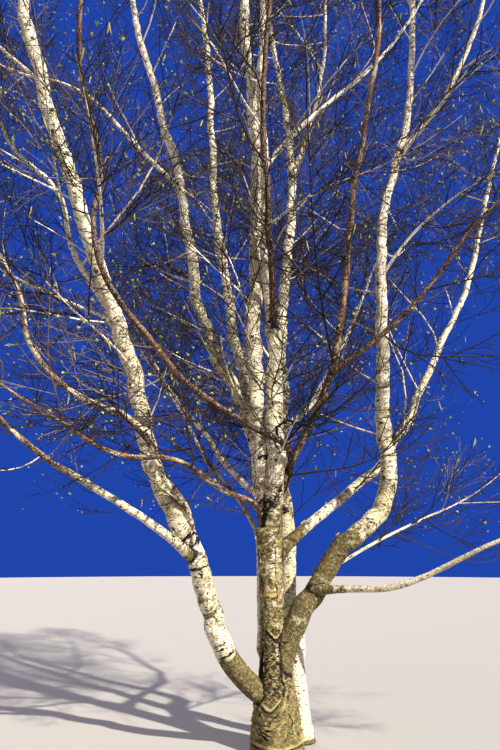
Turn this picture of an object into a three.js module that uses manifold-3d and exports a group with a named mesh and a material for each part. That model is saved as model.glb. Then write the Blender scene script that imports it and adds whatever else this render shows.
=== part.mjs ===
// A gray birch clump in early spring: a short flared trunk, nine stems, seventeen boughs
// and, at their ends and sides, masses of bare twigs hung with a few catkins.
// Lengths are millimetres and +Z is up. The origin is the middle of the flat cut on the ground.
// Headings are degrees round from +X towards +Y. Rises are degrees up from level.
import * as THREE from "three";
import Module from "manifold-3d";

const wasm = await Module();
wasm.setup();

// Driving sizes
const GAP = 0.4; // left between one solid and the next
const FINEST = 0.05; // no edge is shorter
const LIMB_STEPS = 40; // straight steps in the line that a limb grows along
const RING_STEPS = 4; // growth steps between the rings of a limb's solid
const CLOSE_RING_STEPS = 2; // the same on a limb that winds
const WINDING = 7; // rises in the list of a limb that winds
const BURIED = 60; // a limb with its own foot starts this far down, and is cut at the ground
const FLARE_FADE = 170;
const MASS_STEPS = 8;
const STEM_SIDES = 8;
const BOUGH_SIDES = 6;
const MASS_SIDES = 4;
const TWIG_SIDES = 3;
const STEM_GIRTH = 84; // a limb thicker than this at its foot gets the sides of a stem
const LEAST_HEIGHT = 900; // no twig hangs lower
const SPACE_MARGIN = 30; // a twig point is nearer to its own mass than to the next by this
const LIMB_MARGIN = 12; // clear air between a twig and any limb

// The trunk: girth at each height, with a lobed flare that dies away upwards
const TRUNK = {
  length: 1750,
  heading: [180],
  rise: [88, 88],
  sides: 16,
  profile: [
    [0, 420],
    [70, 400],
    [180, 378],
    [330, 352],
    [480, 305],
    [640, 245],
    [900, 205],
    [1300, 200],
    [1600, 222],
    [1750, 226],
  ],
  lobes: 5,
  lobeDepth: 0.09,
  lobeTurn: 50,
  lobeFade: 160,
};

// Stems and boughs, each after the limb that carries it. girth is at the foot and at the tip,
// and bend shapes the taper between them. mass is the twig mass that goes on from the tip.
const LIMBS = [
  {
    name: "stem_left", on: "trunk", at: 0.2, length: 7670, girth: [178, 84], bend: 1.1,
    heading: [197, 223, 232], rise: [25, 75, 57, 78, 63, 68, 63, 74, 73, 74],
    mass: { length: 2350, heading: [228, 214], rise: [74, 84] },
  },
  {
    name: "stem_middle", on: "trunk", at: 0.97, length: 6950, girth: [168, 74], bend: 1.2,
    heading: [235, 248, 256], rise: [73, 97, 74, 85],
    mass: { length: 1900, heading: [256, 280], rise: [85, 80] },
  },
  {
    name: "stem_mid_left", on: "trunk", at: 0.97, length: 7240, girth: [132, 64], bend: 1,
    heading: [166, 149, 153], rise: [89, 61, 82, 73, 71, 87],
    mass: { length: 1800, heading: [153, 165], rise: [87, 78] },
  },
  {
    name: "stem_rear_left", on: "trunk", at: 0.97, length: 7400, girth: [116, 60], bend: 1,
    heading: [130, 111, 133], rise: [79, 67, 85, 78],
    mass: { length: 1750, heading: [133, 120], rise: [78, 83] },
  },
  {
    name: "stem_front", on: "trunk", at: 0.97, length: 1880, girth: [166, 140], bend: 1,
    heading: [289], rise: [60, 93, 97],
  },
  {
    name: "stem_front_white", on: "stem_front", at: 0.97, length: 4300, girth: [94, 58], bend: 1,
    heading: [241, 289], rise: [73, 90, 81, 85],
    mass: { length: 1700, heading: [289, 310], rise: [85, 76] },
  },
  {
    name: "stem_brown", on: "stem_front", at: 0.97, length: 3300, girth: [66, 38], bend: 1,
    heading: [271, 251, 320], rise: [56, 59, 83, 71, 88],
    mass: { length: 1900, heading: [320, 285], rise: [88, 70] },
  },
  {
    name: "stem_rear", on: "ground", foot: [205, 250], length: 9140, girth: [160, 58], bend: 1,
    flare: 80, heading: [141, 57, 138], rise: [87, 79, 79, 71, 82],
    mass: { length: 1600, heading: [135, 100], rise: [78, 82] },
  },
  {
    name: "stem_right", on: "trunk", at: 0.18, length: 8100, girth: [210, 66], bend: 1.9,
    heading: [-19, 42, 34], rise: [88, 59, 41, 97, 81, 90, 75, 66, 78, 82, 85],
    mass: { length: 1900, heading: [34, 10], rise: [85, 76] },
  },
  {
    name: "bough_rear_right", on: "stem_rear", at: 0.66, length: 2840, girth: [66, 40], bend: 1,
    heading: [37, 39], rise: [68, 74, 88],
    mass: { length: 1450, heading: [39, 60], rise: [88, 74] },
  },
  {
    name: "bough_left_low", on: "stem_left", at: 0.18, length: 1910, girth: [76, 38], bend: 1,
    heading: [215, 207, 213], rise: [36, 29, 27, 42],
    mass: { length: 1700, heading: [213, 196], rise: [42, 30] },
  },
  {
    name: "bough_left_inner", on: "stem_left", at: 0.19, length: 2920, girth: [66, 34], bend: 1,
    heading: [264, 201, 228], rise: [91, 27, 64, 13, 39, 79, 44],
    mass: { length: 1500, heading: [228, 208], rise: [44, 56] },
  },
  {
    name: "bough_left_high", on: "stem_left", at: 0.45, length: 2070, girth: [56, 30], bend: 1,
    heading: [189, 202], rise: [54, 56, 83, 31, 67],
    mass: { length: 1500, heading: [196, 172], rise: [60, 68] },
  },
  {
    name: "bough_front_left", on: "trunk", at: 0.97, length: 2450, girth: [54, 28], bend: 1,
    heading: [236, 219, 203], rise: [65, 5, 32, -10, 29, 27],
    mass: { length: 1500, heading: [215, 240], rise: [27, 44] },
  },
  {
    name: "bough_hook", on: "trunk", at: 0.97, length: 5420, girth: [60, 32], bend: 1,
    heading: [383, 197, 230, 194, 264, 300], rise: [81, 25, 26, 47, 102, 24, 112],
    mass: { length: 1700, heading: [262, 240], rise: [72, 66] },
  },
  {
    name: "bough_brown_right", on: "trunk", at: 0.97, length: 4860, girth: [72, 38], bend: 1,
    heading: [-36, -53, -69], rise: [75, 51, 80, 78, 67, 83],
    mass: { length: 1850, heading: [-69, -40], rise: [83, 70] },
  },
  {
    name: "bough_arching_right", on: "bough_brown_right", at: 0.31, length: 2000, girth: [54, 32],
    bend: 1, heading: [-24, -29], rise: [25, 38, 52, 35],
    mass: { length: 1500, heading: [-29, -46], rise: [35, 52] },
  },
  {
    name: "bough_left_thin", on: "trunk", at: 0.35, length: 2810, girth: [48, 24], bend: 1,
    heading: [156, 161, 176], rise: [34, 109, 72, 44, 65, 54],
    mass: { length: 1450, heading: [176, 168], rise: [54, 62] },
  },
  {
    name: "bough_white_right", on: "trunk", at: 0.83, length: 5810, girth: [98, 44], bend: 1.1,
    heading: [35, 14, 20], rise: [38, 32, 63, 61, 74, 69],
    mass: { length: 1800, heading: [20, 8], rise: [69, 78] },
  },
  {
    name: "bough_right_low", on: "stem_right", at: 0.12, length: 1610, girth: [62, 32], bend: 1,
    heading: [-35, -23], rise: [3, 2, 29, 21],
    mass: { length: 1650, heading: [-23, -8], rise: [21, 40] },
  },
  {
    name: "bough_outer_left", on: "stem_mid_left", at: 0.52, length: 1970, girth: [50, 28], bend: 1,
    heading: [210, 186], rise: [30, 48, -1],
    mass: { length: 1350, heading: [186, 165], rise: [20, 52] },
  },
  {
    name: "bough_outer_right", on: "stem_middle", at: 0.49, length: 2710, girth: [56, 30], bend: 1,
    heading: [7, 7], rise: [59, 43, 59],
    mass: { length: 1500, heading: [7, 20], rise: [59, 74] },
  },
  {
    name: "bough_right_high", on: "stem_right", at: 0.71, length: 2550, girth: [60, 34], bend: 1,
    heading: [-19, -44], rise: [39, 65, 78],
    mass: { length: 1500, heading: [-44, -20], rise: [78, 68] },
  },
  {
    name: "bough_back_left", on: "stem_rear", at: 0.21, length: 2750, girth: [66, 34], bend: 1,
    heading: [150, 132, 140], rise: [24, 48, 40, 58],
    mass: { length: 1650, heading: [140, 156], rise: [58, 50] },
  },
  {
    name: "bough_back_right", on: "stem_rear", at: 0.3, length: 2900, girth: [64, 34], bend: 1,
    heading: [42, 62, 50], rise: [26, 50, 44, 60],
    mass: { length: 1650, heading: [50, 34], rise: [60, 52] },
  },
  {
    name: "bough_back_high", on: "stem_rear_left", at: 0.36, length: 2500, girth: [58, 30], bend: 1,
    heading: [88, 104, 96], rise: [38, 58, 50, 66],
    mass: { length: 1550, heading: [96, 112], rise: [66, 60] },
  },
];

// Masses that leave the side of a limb on a thin stem of their own
const SIDE_MASSES = [
  { name: "twigs_left_mid", on: "stem_left", at: 0.45, length: 2100, heading: [179, 172], rise: [22, 34] },
  { name: "twigs_left_top", on: "stem_left", at: 0.72, length: 1800, heading: [205, 188], rise: [30, 56] },
  { name: "twigs_right_thin", on: "stem_right", at: 0.14, length: 2500, heading: [13, 32], rise: [30, 19, 36] },
  { name: "twigs_mid_low", on: "stem_middle", at: 0.4, length: 2100, heading: [-33, -21], rise: [33, 5, 34] },
  { name: "twigs_right_mid", on: "stem_right", at: 0.51, length: 2150, heading: [-28, -34], rise: [57, 22, 44] },
  { name: "twigs_hook_side", on: "bough_hook", at: 0.56, length: 1500, heading: [285, 262], rise: [20, 40] },
  { name: "twigs_back_mid", on: "stem_rear", at: 0.5, length: 1900, heading: [70, 84], rise: [28, 48] },
  { name: "twigs_back_side", on: "stem_mid_left", at: 0.36, length: 1750, heading: [128, 146], rise: [24, 46] },
];

// How a mass branches: every twig leaves its stem at a set lean, turned on from the one before
const TWIGS = {
  count: 6,
  first: 0.16,
  last: 0.93,
  lean: 44,
  leanSpread: 16,
  turn: 137.5,
  turnSpread: 30,
  reach: 0.46, // of the mass's length
  least: 240,
  reachSpread: 0.3,
  lift: 0.32, // how far the outer part of a twig turns up
  knee: 0.45, // share of the twig below its turn
  most: 15, // girth at its root
  ofStem: 0.6, // or this share of its stem's girth there
  thinning: 0.5, // girth at the knee, as a share of the root's
  tryShares: [1, 0.7, 0.45],
};
// A fork leaves most twigs a little below the knee
const FORKS = { share: 0.42, reach: 0.5, lean: 42, girth: 0.55, skip: 6 };
const CATKIN = { length: 95, girth: 15, stalk: 3.5, sink: 18, shoulder: 0.3, every: 4 };
const MASS_TIP_GIRTH = 9;
const SIDE_MASS_GIRTH = 34;

const BARK = {
  trunk: { color: 0x8a8069, roughness: 0.9 },
  white: { color: 0xd9d2c0, roughness: 0.7 },
  brown: { color: 0x7a4b35, roughness: 0.65 },
  twig: { color: 0x4a352b, roughness: 0.8 },
};

// Repeatable random numbers between 0 and 1
function seeded(seed) {
  let state = seed;
  return () => {
    state = (state * 16807) % 2147483647;
    return state / 2147483647;
  };
}

// The value at a share of the way through an evenly spaced list
function along(list, share) {
  const place = Math.min(Math.max(share, 0), 1) * (list.length - 1);
  const below = Math.min(Math.floor(place), Math.max(list.length - 2, 0));
  const above = Math.min(below + 1, list.length - 1);
  return list[below] + (list[above] - list[below]) * (place - below);
}

// The line that a limb grows along: even steps whose heading and rise drift through their lists
function walk(start, { length, heading, rise }, steps) {
  const line = [start.clone()];
  for (let i = 0; i < steps; i++) {
    const share = (i + 0.5) / steps;
    const turn = THREE.MathUtils.degToRad(along(heading, share));
    const lift = THREE.MathUtils.degToRad(along(rise, share));
    const flat = Math.cos(lift);
    const step = new THREE.Vector3(flat * Math.cos(turn), flat * Math.sin(turn), Math.sin(lift));
    line.push(line[i].clone().addScaledVector(step, length / steps));
  }
  return line;
}

// A point at a share of a line
function pointAt(line, share) {
  const place = share * (line.length - 1);
  const below = Math.min(Math.floor(place), line.length - 2);
  return line[below].clone().lerp(line[below + 1], place - below);
}

// Directions across a line at each of its points, turned as little as the line allows
function framesOf(line) {
  let side = null;
  return line.map((point, i) => {
    const before = line[Math.max(i - 1, 0)];
    const after = line[Math.min(i + 1, line.length - 1)];
    const ahead = after.clone().sub(before).normalize();
    side ??= Math.abs(ahead.x) < 0.8 ? new THREE.Vector3(1, 0, 0) : new THREE.Vector3(0, 1, 0);
    side = side.clone().addScaledVector(ahead, -side.dot(ahead)).normalize();
    return { point, ahead, side, across: ahead.clone().cross(side) };
  });
}

function ring({ point, side, across }, radius, sides) {
  return Array.from({ length: sides }, (_, j) => {
    const angle = (2 * Math.PI * j) / sides;
    return point
      .clone()
      .addScaledVector(side, radius * Math.cos(angle))
      .addScaledVector(across, radius * Math.sin(angle));
  });
}

// A closed solid through rings of equal count. A ring of one point closes it to a tip.
function loft(rings) {
  const starts = [];
  const places = [];
  for (const points of rings) {
    starts.push(places.length / 3);
    points.forEach((point) => places.push(point.x, point.y, point.z));
  }
  const faces = [];
  for (let i = 0; i + 1 < rings.length; i++) {
    const sides = Math.max(rings[i].length, rings[i + 1].length);
    for (let j = 0; j < sides; j++) {
      const k = (j + 1) % sides;
      const [a, b] = [starts[i], starts[i + 1]];
      if (rings[i].length > 1) faces.push(a + j, a + k, rings[i + 1].length > 1 ? b + k : b);
      if (rings[i + 1].length > 1) faces.push(rings[i].length > 1 ? a + j : a, b + k, b + j);
    }
  }
  const last = rings.length - 1;
  for (let j = 1; j + 1 < rings[0].length; j++) faces.push(0, j + 1, j);
  for (let j = 1; j + 1 < rings[last].length; j++) {
    faces.push(starts[last], starts[last] + j, starts[last] + j + 1);
  }
  return new THREE.BufferGeometry()
    .setAttribute("position", new THREE.Float32BufferAttribute(places, 3))
    .setIndex(faces);
}

function toSolid(geometry) {
  return new wasm.Manifold(
    new wasm.Mesh({
      numProp: 3,
      vertProperties: geometry.attributes.position.array,
      triVerts: new Uint32Array(geometry.index.array),
    }),
  );
}

function toGeometry(solid) {
  const { vertProperties, triVerts, numProp, numVert } = solid.getMesh();
  const places = new Float32Array(numVert * 3);
  for (let i = 0; i < numVert; i++) {
    places.set(vertProperties.subarray(i * numProp, i * numProp + 3), i * 3);
  }
  const geometry = new THREE.BufferGeometry()
    .setAttribute("position", new THREE.BufferAttribute(places, 3))
    .setIndex(new THREE.BufferAttribute(triVerts, 1));
  geometry.computeVertexNormals();
  return geometry;
}

// A cut or a join can leave loose scraps: the largest body is kept
function largest(solid) {
  const bodies = solid.decompose();
  return bodies.reduce((best, body) => (body.volume() > best.volume() ? body : best));
}

const girthAt = (limb, share) => {
  const [foot, tip] = limb.girth;
  const flare = (limb.flare ?? 0) * Math.exp((-share * limb.length) / FLARE_FADE);
  return tip + (foot - tip) * Math.pow(1 - share, limb.bend) + flare;
};

const trunkGirthAt = (height) => {
  const above = TRUNK.profile.findIndex(([level]) => level >= height);
  if (above <= 0) return TRUNK.profile.at(above)[1];
  const [[low, lowGirth], [high, highGirth]] = TRUNK.profile.slice(above - 1, above + 1);
  return lowGirth + ((highGirth - lowGirth) * (height - low)) / (high - low);
};

// The trunk is level rings up its leaning line, so its foot is a flat cut. extra swells it.
function trunkSolid(line, extra) {
  const rings = TRUNK.profile.map(([height, girth], i) => {
    const point = pointAt(line, height / TRUNK.length);
    point.z = height + (i === TRUNK.profile.length - 1 ? extra : 0);
    const fade = TRUNK.lobeDepth * Math.exp(-height / TRUNK.lobeFade);
    return Array.from({ length: TRUNK.sides }, (_, j) => {
      const angle = (2 * Math.PI * j) / TRUNK.sides;
      const lobe = Math.cos(TRUNK.lobes * (angle - THREE.MathUtils.degToRad(TRUNK.lobeTurn)));
      const radius = (girth / 2) * (1 + fade * lobe) + extra;
      return new THREE.Vector3(
        point.x + radius * Math.cos(angle),
        point.y + radius * Math.sin(angle),
        point.z,
      );
    });
  });
  return toSolid(loft(rings));
}

// A limb is a tapering tube on its line. extra swells it and lengthens its tip.
function limbSolid(limb, extra) {
  const sides = limb.girth[0] > STEM_GIRTH ? STEM_SIDES : BOUGH_SIDES;
  const spacing = limb.rise.length < WINDING ? RING_STEPS : CLOSE_RING_STEPS;
  const frames = framesOf(limb.line);
  const steps = [];
  for (let i = 0; i < LIMB_STEPS; i += spacing) steps.push(i);
  if (limb.flare) steps.splice(1, 0, 1, 2);
  const ringOf = (frame, share) => ring(frame, girthAt(limb, share) / 2 + extra, sides);
  const moved = (frame, by) => ({ ...frame, point: frame.point.clone().addScaledVector(frame.ahead, by) });
  const rings = steps.map((step) => ringOf(frames[step], step / LIMB_STEPS));
  if (limb.on === "ground") rings[0] = ringOf(moved(frames[0], -BURIED), 0);
  rings.push(ringOf(moved(frames[LIMB_STEPS], extra), 1));
  return toSolid(loft(rings));
}

// Distance from a point to a line, and the share of the line that is nearest
function nearest(point, line) {
  let best = { distance: Infinity, share: 0 };
  const span = new THREE.Vector3();
  const arm = new THREE.Vector3();
  for (let i = 0; i + 1 < line.length; i++) {
    span.subVectors(line[i + 1], line[i]);
    arm.subVectors(point, line[i]);
    const t = THREE.MathUtils.clamp(arm.dot(span) / span.lengthSq(), 0, 1);
    const distance = arm.addScaledVector(span, -t).length();
    if (distance < best.distance) best = { distance, share: (i + t) / (line.length - 1) };
  }
  return best;
}

// The limbs' lines, from the trunk outwards
const trunk = { name: "trunk", line: walk(new THREE.Vector3(), TRUNK, LIMB_STEPS) };
const limbs = new Map([["trunk", trunk]]);
for (const limb of LIMBS) {
  const start =
    limb.on === "ground"
      ? new THREE.Vector3(limb.foot[0], limb.foot[1], 0)
      : pointAt(limbs.get(limb.on).line, limb.at);
  limbs.set(limb.name, { ...limb, line: walk(start, limb, LIMB_STEPS) });
}

// The masses: one goes on from each limb's tip, and the rest leave a limb's side
const TIP_SHARE = 0.995;
const tipMasses = LIMBS.filter((limb) => limb.mass).map((limb) => ({
  name: limb.name.replace(/^(stem|bough)_/, "twigs_"),
  on: limb.name,
  at: TIP_SHARE,
  girth: limb.girth[1] * 0.97,
  ...limb.mass,
}));
const masses = [...tipMasses, ...SIDE_MASSES.map((mass) => ({ girth: SIDE_MASS_GIRTH, ...mass }))];
masses.forEach((mass, i) => {
  const start = pointAt(limbs.get(mass.on).line, mass.at);
  mass.line = walk(start, mass, MASS_STEPS);
  mass.seed = 31 + 977 * i;
});

const limbRadius = (limb, share) =>
  limb === trunk ? trunkGirthAt(share * TRUNK.length) / 2 : girthAt(limb, share) / 2;

// Whether a point belongs to a mass's own space and is clear of every limb
function inOwnSpace(point, mass) {
  if (point.z < LEAST_HEIGHT) return false;
  const own = nearest(point, mass.line).distance + SPACE_MARGIN;
  if (masses.some((other) => other !== mass && nearest(point, other.line).distance < own)) return false;
  return ![...limbs.values()].some((limb) => {
    const { distance, share } = nearest(point, limb.line);
    return distance < limbRadius(limb, share) + LIMB_MARGIN;
  });
}

// A twig's three points: root, knee and tip
function twigPoints(root, direction, length) {
  const outer = direction.clone();
  outer.z += TWIGS.lift;
  outer.normalize();
  const knee = root.clone().addScaledVector(direction, length * TWIGS.knee);
  return [root, knee, knee.clone().addScaledVector(outer, length * (1 - TWIGS.knee))];
}

function staysIn(points, mass, drop) {
  const samples = [0.3, 0.6, 0.8, 1].map((share) => pointAt(points, share));
  samples.push(samples.at(-1).clone().add(new THREE.Vector3(0, 0, -drop)));
  return samples.every((point) => inOwnSpace(point, mass));
}

// The direction that leans out from a frame's line at a turn round it
function leaning(frame, lean, turn) {
  const [out, round] = [THREE.MathUtils.degToRad(lean), THREE.MathUtils.degToRad(turn)];
  return frame.ahead
    .clone()
    .multiplyScalar(Math.cos(out))
    .addScaledVector(frame.side, Math.sin(out) * Math.cos(round))
    .addScaledVector(frame.across, Math.sin(out) * Math.sin(round))
    .normalize();
}

// The longest of a few sizes of a twig that stays in the mass's space, or nothing
function fitTwig(root, direction, length, mass, drop) {
  for (const share of TWIGS.tryShares) {
    const points = twigPoints(root, direction, length * share);
    if (staysIn(points, mass, drop)) return points;
  }
  return null;
}

const massGirthAt = (mass, share) => mass.girth + (MASS_TIP_GIRTH - mass.girth) * share;

// All twigs of a mass. Every random number is drawn before a twig is tried.
function growTwigs(mass) {
  const random = seeded(mass.seed);
  const frames = framesOf(mass.line);
  const twigs = [];
  for (let i = 0; i < TWIGS.count; i++) {
    const [shareDraw, leanDraw, turnDraw, reachDraw, forkDraw] = Array.from({ length: 5 }, random);
    const even = (i + shareDraw) / TWIGS.count;
    const share = TWIGS.first + (TWIGS.last - TWIGS.first) * even;
    const frame = frames[Math.round(share * MASS_STEPS)];
    const lean = TWIGS.lean + TWIGS.leanSpread * (leanDraw - 0.5);
    const turn = i * TWIGS.turn + TWIGS.turnSpread * (turnDraw - 0.5);
    const reach = 1 + TWIGS.reachSpread * (reachDraw - 0.5);
    const length = (TWIGS.least + mass.length * TWIGS.reach * (1.1 - share)) * reach;
    const hangs = i % CATKIN.every === 1;
    const root = pointAt(mass.line, share);
    const drop = hangs ? CATKIN.length : 0;
    const points = fitTwig(root, leaning(frame, lean, turn), length, mass, drop);
    if (!points) continue;
    const thick = Math.min(TWIGS.most, TWIGS.ofStem * massGirthAt(mass, share));
    const girth = [thick, thick * TWIGS.thinning];
    if (hangs) girth.push(CATKIN.stalk);
    twigs.push({ points, girth, hangs });
    if (i % FORKS.skip === FORKS.skip - 1) continue;
    const forkRoot = pointAt(points, FORKS.share);
    const forkWay = leaning(framesOf(points)[0], FORKS.lean, 360 * forkDraw);
    const forkLength = points[0].distanceTo(points[2]) * FORKS.reach;
    const fork = fitTwig(forkRoot, forkWay, forkLength, mass, 0);
    const forkGirth = along(girth, FORKS.share * 2) * FORKS.girth;
    if (fork) twigs.push({ points: [fork[0], fork[2]], girth: [forkGirth], hangs: false });
  }
  return twigs;
}

function twigSolid({ points, girth }) {
  const frames = framesOf(points);
  const rings = girth.map((size, i) => ring(frames[i], size / 2, TWIG_SIDES));
  if (girth.length < points.length) rings.push([points.at(-1)]);
  return toSolid(loft(rings));
}

// A catkin hangs straight down with the twig's tip sunk in its upper end
function catkinSolid(tip) {
  const up = (rise) => new THREE.Vector3(tip.x, tip.y, tip.z + rise);
  const shoulder = {
    point: up(CATKIN.sink - CATKIN.length * CATKIN.shoulder),
    side: new THREE.Vector3(1, 0, 0),
    across: new THREE.Vector3(0, -1, 0),
  };
  const middle = ring(shoulder, CATKIN.girth / 2, TWIG_SIDES);
  return toSolid(loft([[up(CATKIN.sink)], middle, [up(CATKIN.sink - CATKIN.length)]]));
}

// A mass is its stem, its twigs and their catkins, fused
function massSolid(mass) {
  const frames = framesOf(mass.line);
  const rings = [];
  for (let i = 0; i < MASS_STEPS; i += 2) {
    rings.push(ring(frames[i], massGirthAt(mass, i / MASS_STEPS) / 2, MASS_SIDES));
  }
  const stem = toSolid(loft([...rings, [mass.line.at(-1)]]));
  const twigs = growTwigs(mass);
  const catkins = twigs.filter((twig) => twig.hangs).map((twig) => catkinSolid(twig.points.at(-1)));
  return wasm.Manifold.union([stem, ...twigs.map(twigSolid), ...catkins]);
}

const bark = Object.fromEntries(
  Object.entries(BARK).map(([name, look]) => [name, new THREE.MeshStandardMaterial(look)]),
);
const BROWN = /brown|hook|front_left|left_thin|left_inner|arching/;

// Every solid is cut clear of the limbs before it
const tree = new THREE.Group();
const keepOuts = [];
function addNode(name, solid, material) {
  const clear = keepOuts.reduce((rest, keepOut) => rest.subtract(keepOut), solid);
  const mesh = new THREE.Mesh(toGeometry(largest(clear.simplify(FINEST))), material);
  mesh.name = name;
  tree.add(mesh);
}

addNode("trunk", trunkSolid(trunk.line, 0), bark.trunk);
keepOuts.push(trunkSolid(trunk.line, GAP));
for (const { name } of LIMBS) {
  const limb = limbs.get(name);
  const aboveGround = limbSolid(limb, 0).trimByPlane([0, 0, 1], 0);
  addNode(name, aboveGround, BROWN.test(name) ? bark.brown : bark.white);
  keepOuts.push(limbSolid(limb, GAP));
}
for (const mass of masses) addNode(mass.name, massSolid(mass), bark.twig);

export default tree;
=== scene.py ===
# %% [markdown]
# # A gray birch clump in early spring
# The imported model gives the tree's limbs as plain faceted tubes and its crown as a few
# twigs. This lesson keeps every limb where it is and dresses it: bark with real relief,
# rounded forks, thousands of fine twigs, catkins and the first small leaves. All lengths
# are metres and +Z is up. The origin is the middle of the foot, on the ground.

# %% Load the frame
import math

import bpy
import numpy as np
from mathutils import Euler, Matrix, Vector, noise


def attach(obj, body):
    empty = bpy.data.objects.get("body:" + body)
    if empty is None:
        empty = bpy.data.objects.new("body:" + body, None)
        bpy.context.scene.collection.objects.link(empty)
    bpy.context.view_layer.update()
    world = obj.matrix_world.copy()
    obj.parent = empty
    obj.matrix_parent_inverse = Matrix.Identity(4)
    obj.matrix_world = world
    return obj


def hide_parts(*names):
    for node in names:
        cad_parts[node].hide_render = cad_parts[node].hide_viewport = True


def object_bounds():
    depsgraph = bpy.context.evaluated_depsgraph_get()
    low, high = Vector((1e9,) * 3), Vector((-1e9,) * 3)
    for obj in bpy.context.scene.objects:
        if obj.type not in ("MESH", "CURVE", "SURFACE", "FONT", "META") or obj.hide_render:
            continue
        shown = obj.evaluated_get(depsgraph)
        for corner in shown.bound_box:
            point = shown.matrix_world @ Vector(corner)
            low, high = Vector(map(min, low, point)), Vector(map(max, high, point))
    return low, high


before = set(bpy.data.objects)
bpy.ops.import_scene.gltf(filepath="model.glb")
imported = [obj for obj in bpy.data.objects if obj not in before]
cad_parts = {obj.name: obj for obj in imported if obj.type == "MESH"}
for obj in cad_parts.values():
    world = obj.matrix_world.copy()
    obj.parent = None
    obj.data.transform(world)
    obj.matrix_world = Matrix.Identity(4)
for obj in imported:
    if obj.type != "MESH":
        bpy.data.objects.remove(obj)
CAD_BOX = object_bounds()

LOW, HIGH = (np.array(corner) for corner in CAD_BOX)
print("solids", len(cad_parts), "box", LOW.round(2), HIGH.round(2))

# %% [markdown]
# ## The camera
# The picture was taken by someone standing close to the tree and tilting the camera up,
# so the foot is seen from a little above and the crown runs out of the frame. A camera
# needs only a place, a tilt and a lens. The tilt and the lens were found together, from
# where the foot, the forks and the stems fall in the picture.

# %% Place the camera
EYE = (-0.224, -5.8, 1.5)
TILT_UP = 15.5
LENS = 31.2
SENSOR_WIDTH = 36
SEES_TO = 300


def placed(name, data):
    """A new object in the scene that shows some data"""
    thing = bpy.data.objects.new(name, data)
    bpy.context.scene.collection.objects.link(thing)
    return thing


view = placed("view", bpy.data.cameras.new("view"))
view.data.lens = LENS
view.data.sensor_width = SENSOR_WIDTH
view.data.clip_end = SEES_TO
view.location = EYE
view.rotation_euler = (math.radians(90 + TILT_UP), 0, 0)
bpy.context.scene.camera = view
print("camera", EYE, "lens", LENS)

# %% [markdown]
# ## The tree's sizes
# A birch clump is a short trunk that breaks into several leaning stems, each with a few
# boughs. The table says for each limb what it grows from, how far along, how long and how
# thick it is, and how its heading and its rise drift on the way. Headings are degrees
# from +X towards +Y, rises are degrees up from level, and a rise over 90 leans back.
# The same few numbers made the solids, so the dressed limbs lie exactly on them.

# %% Sizes of the trunk
TRUNK = dict(length=1.75, heading=(180,), rise=(88, 88), lobes=5, lobe_depth=0.09,
             lobe_turn=50, lobe_fade=0.16)
TRUNK_HEIGHTS = (0, 0.07, 0.18, 0.33, 0.48, 0.64, 0.9, 1.3, 1.6, 1.75)
TRUNK_GIRTHS = (0.42, 0.4, 0.378, 0.352, 0.305, 0.245, 0.205, 0.2, 0.222, 0.226)
FORK_AT = 0.97
print("trunk", TRUNK["length"], "m, fork at", FORK_AT, "of its length")

# %% Sizes of the limbs and of the masses of twigs
MASS_SIZES = ("length", "heading", "rise")


def shoot(on, at, length, girth, heading, rise, mass=None, bend=1, **more):
    """A limb's row: what it grows on and how far along, its length, its girths at foot and
    tip, its headings, its rises, the same for the twigs past its tip, and how it tapers"""
    row = dict(on=on, at=at, length=length, girth=girth, heading=heading, rise=rise, bend=bend)
    if mass:
        row["mass"] = dict(zip(MASS_SIZES, mass))
    return row | more


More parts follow.
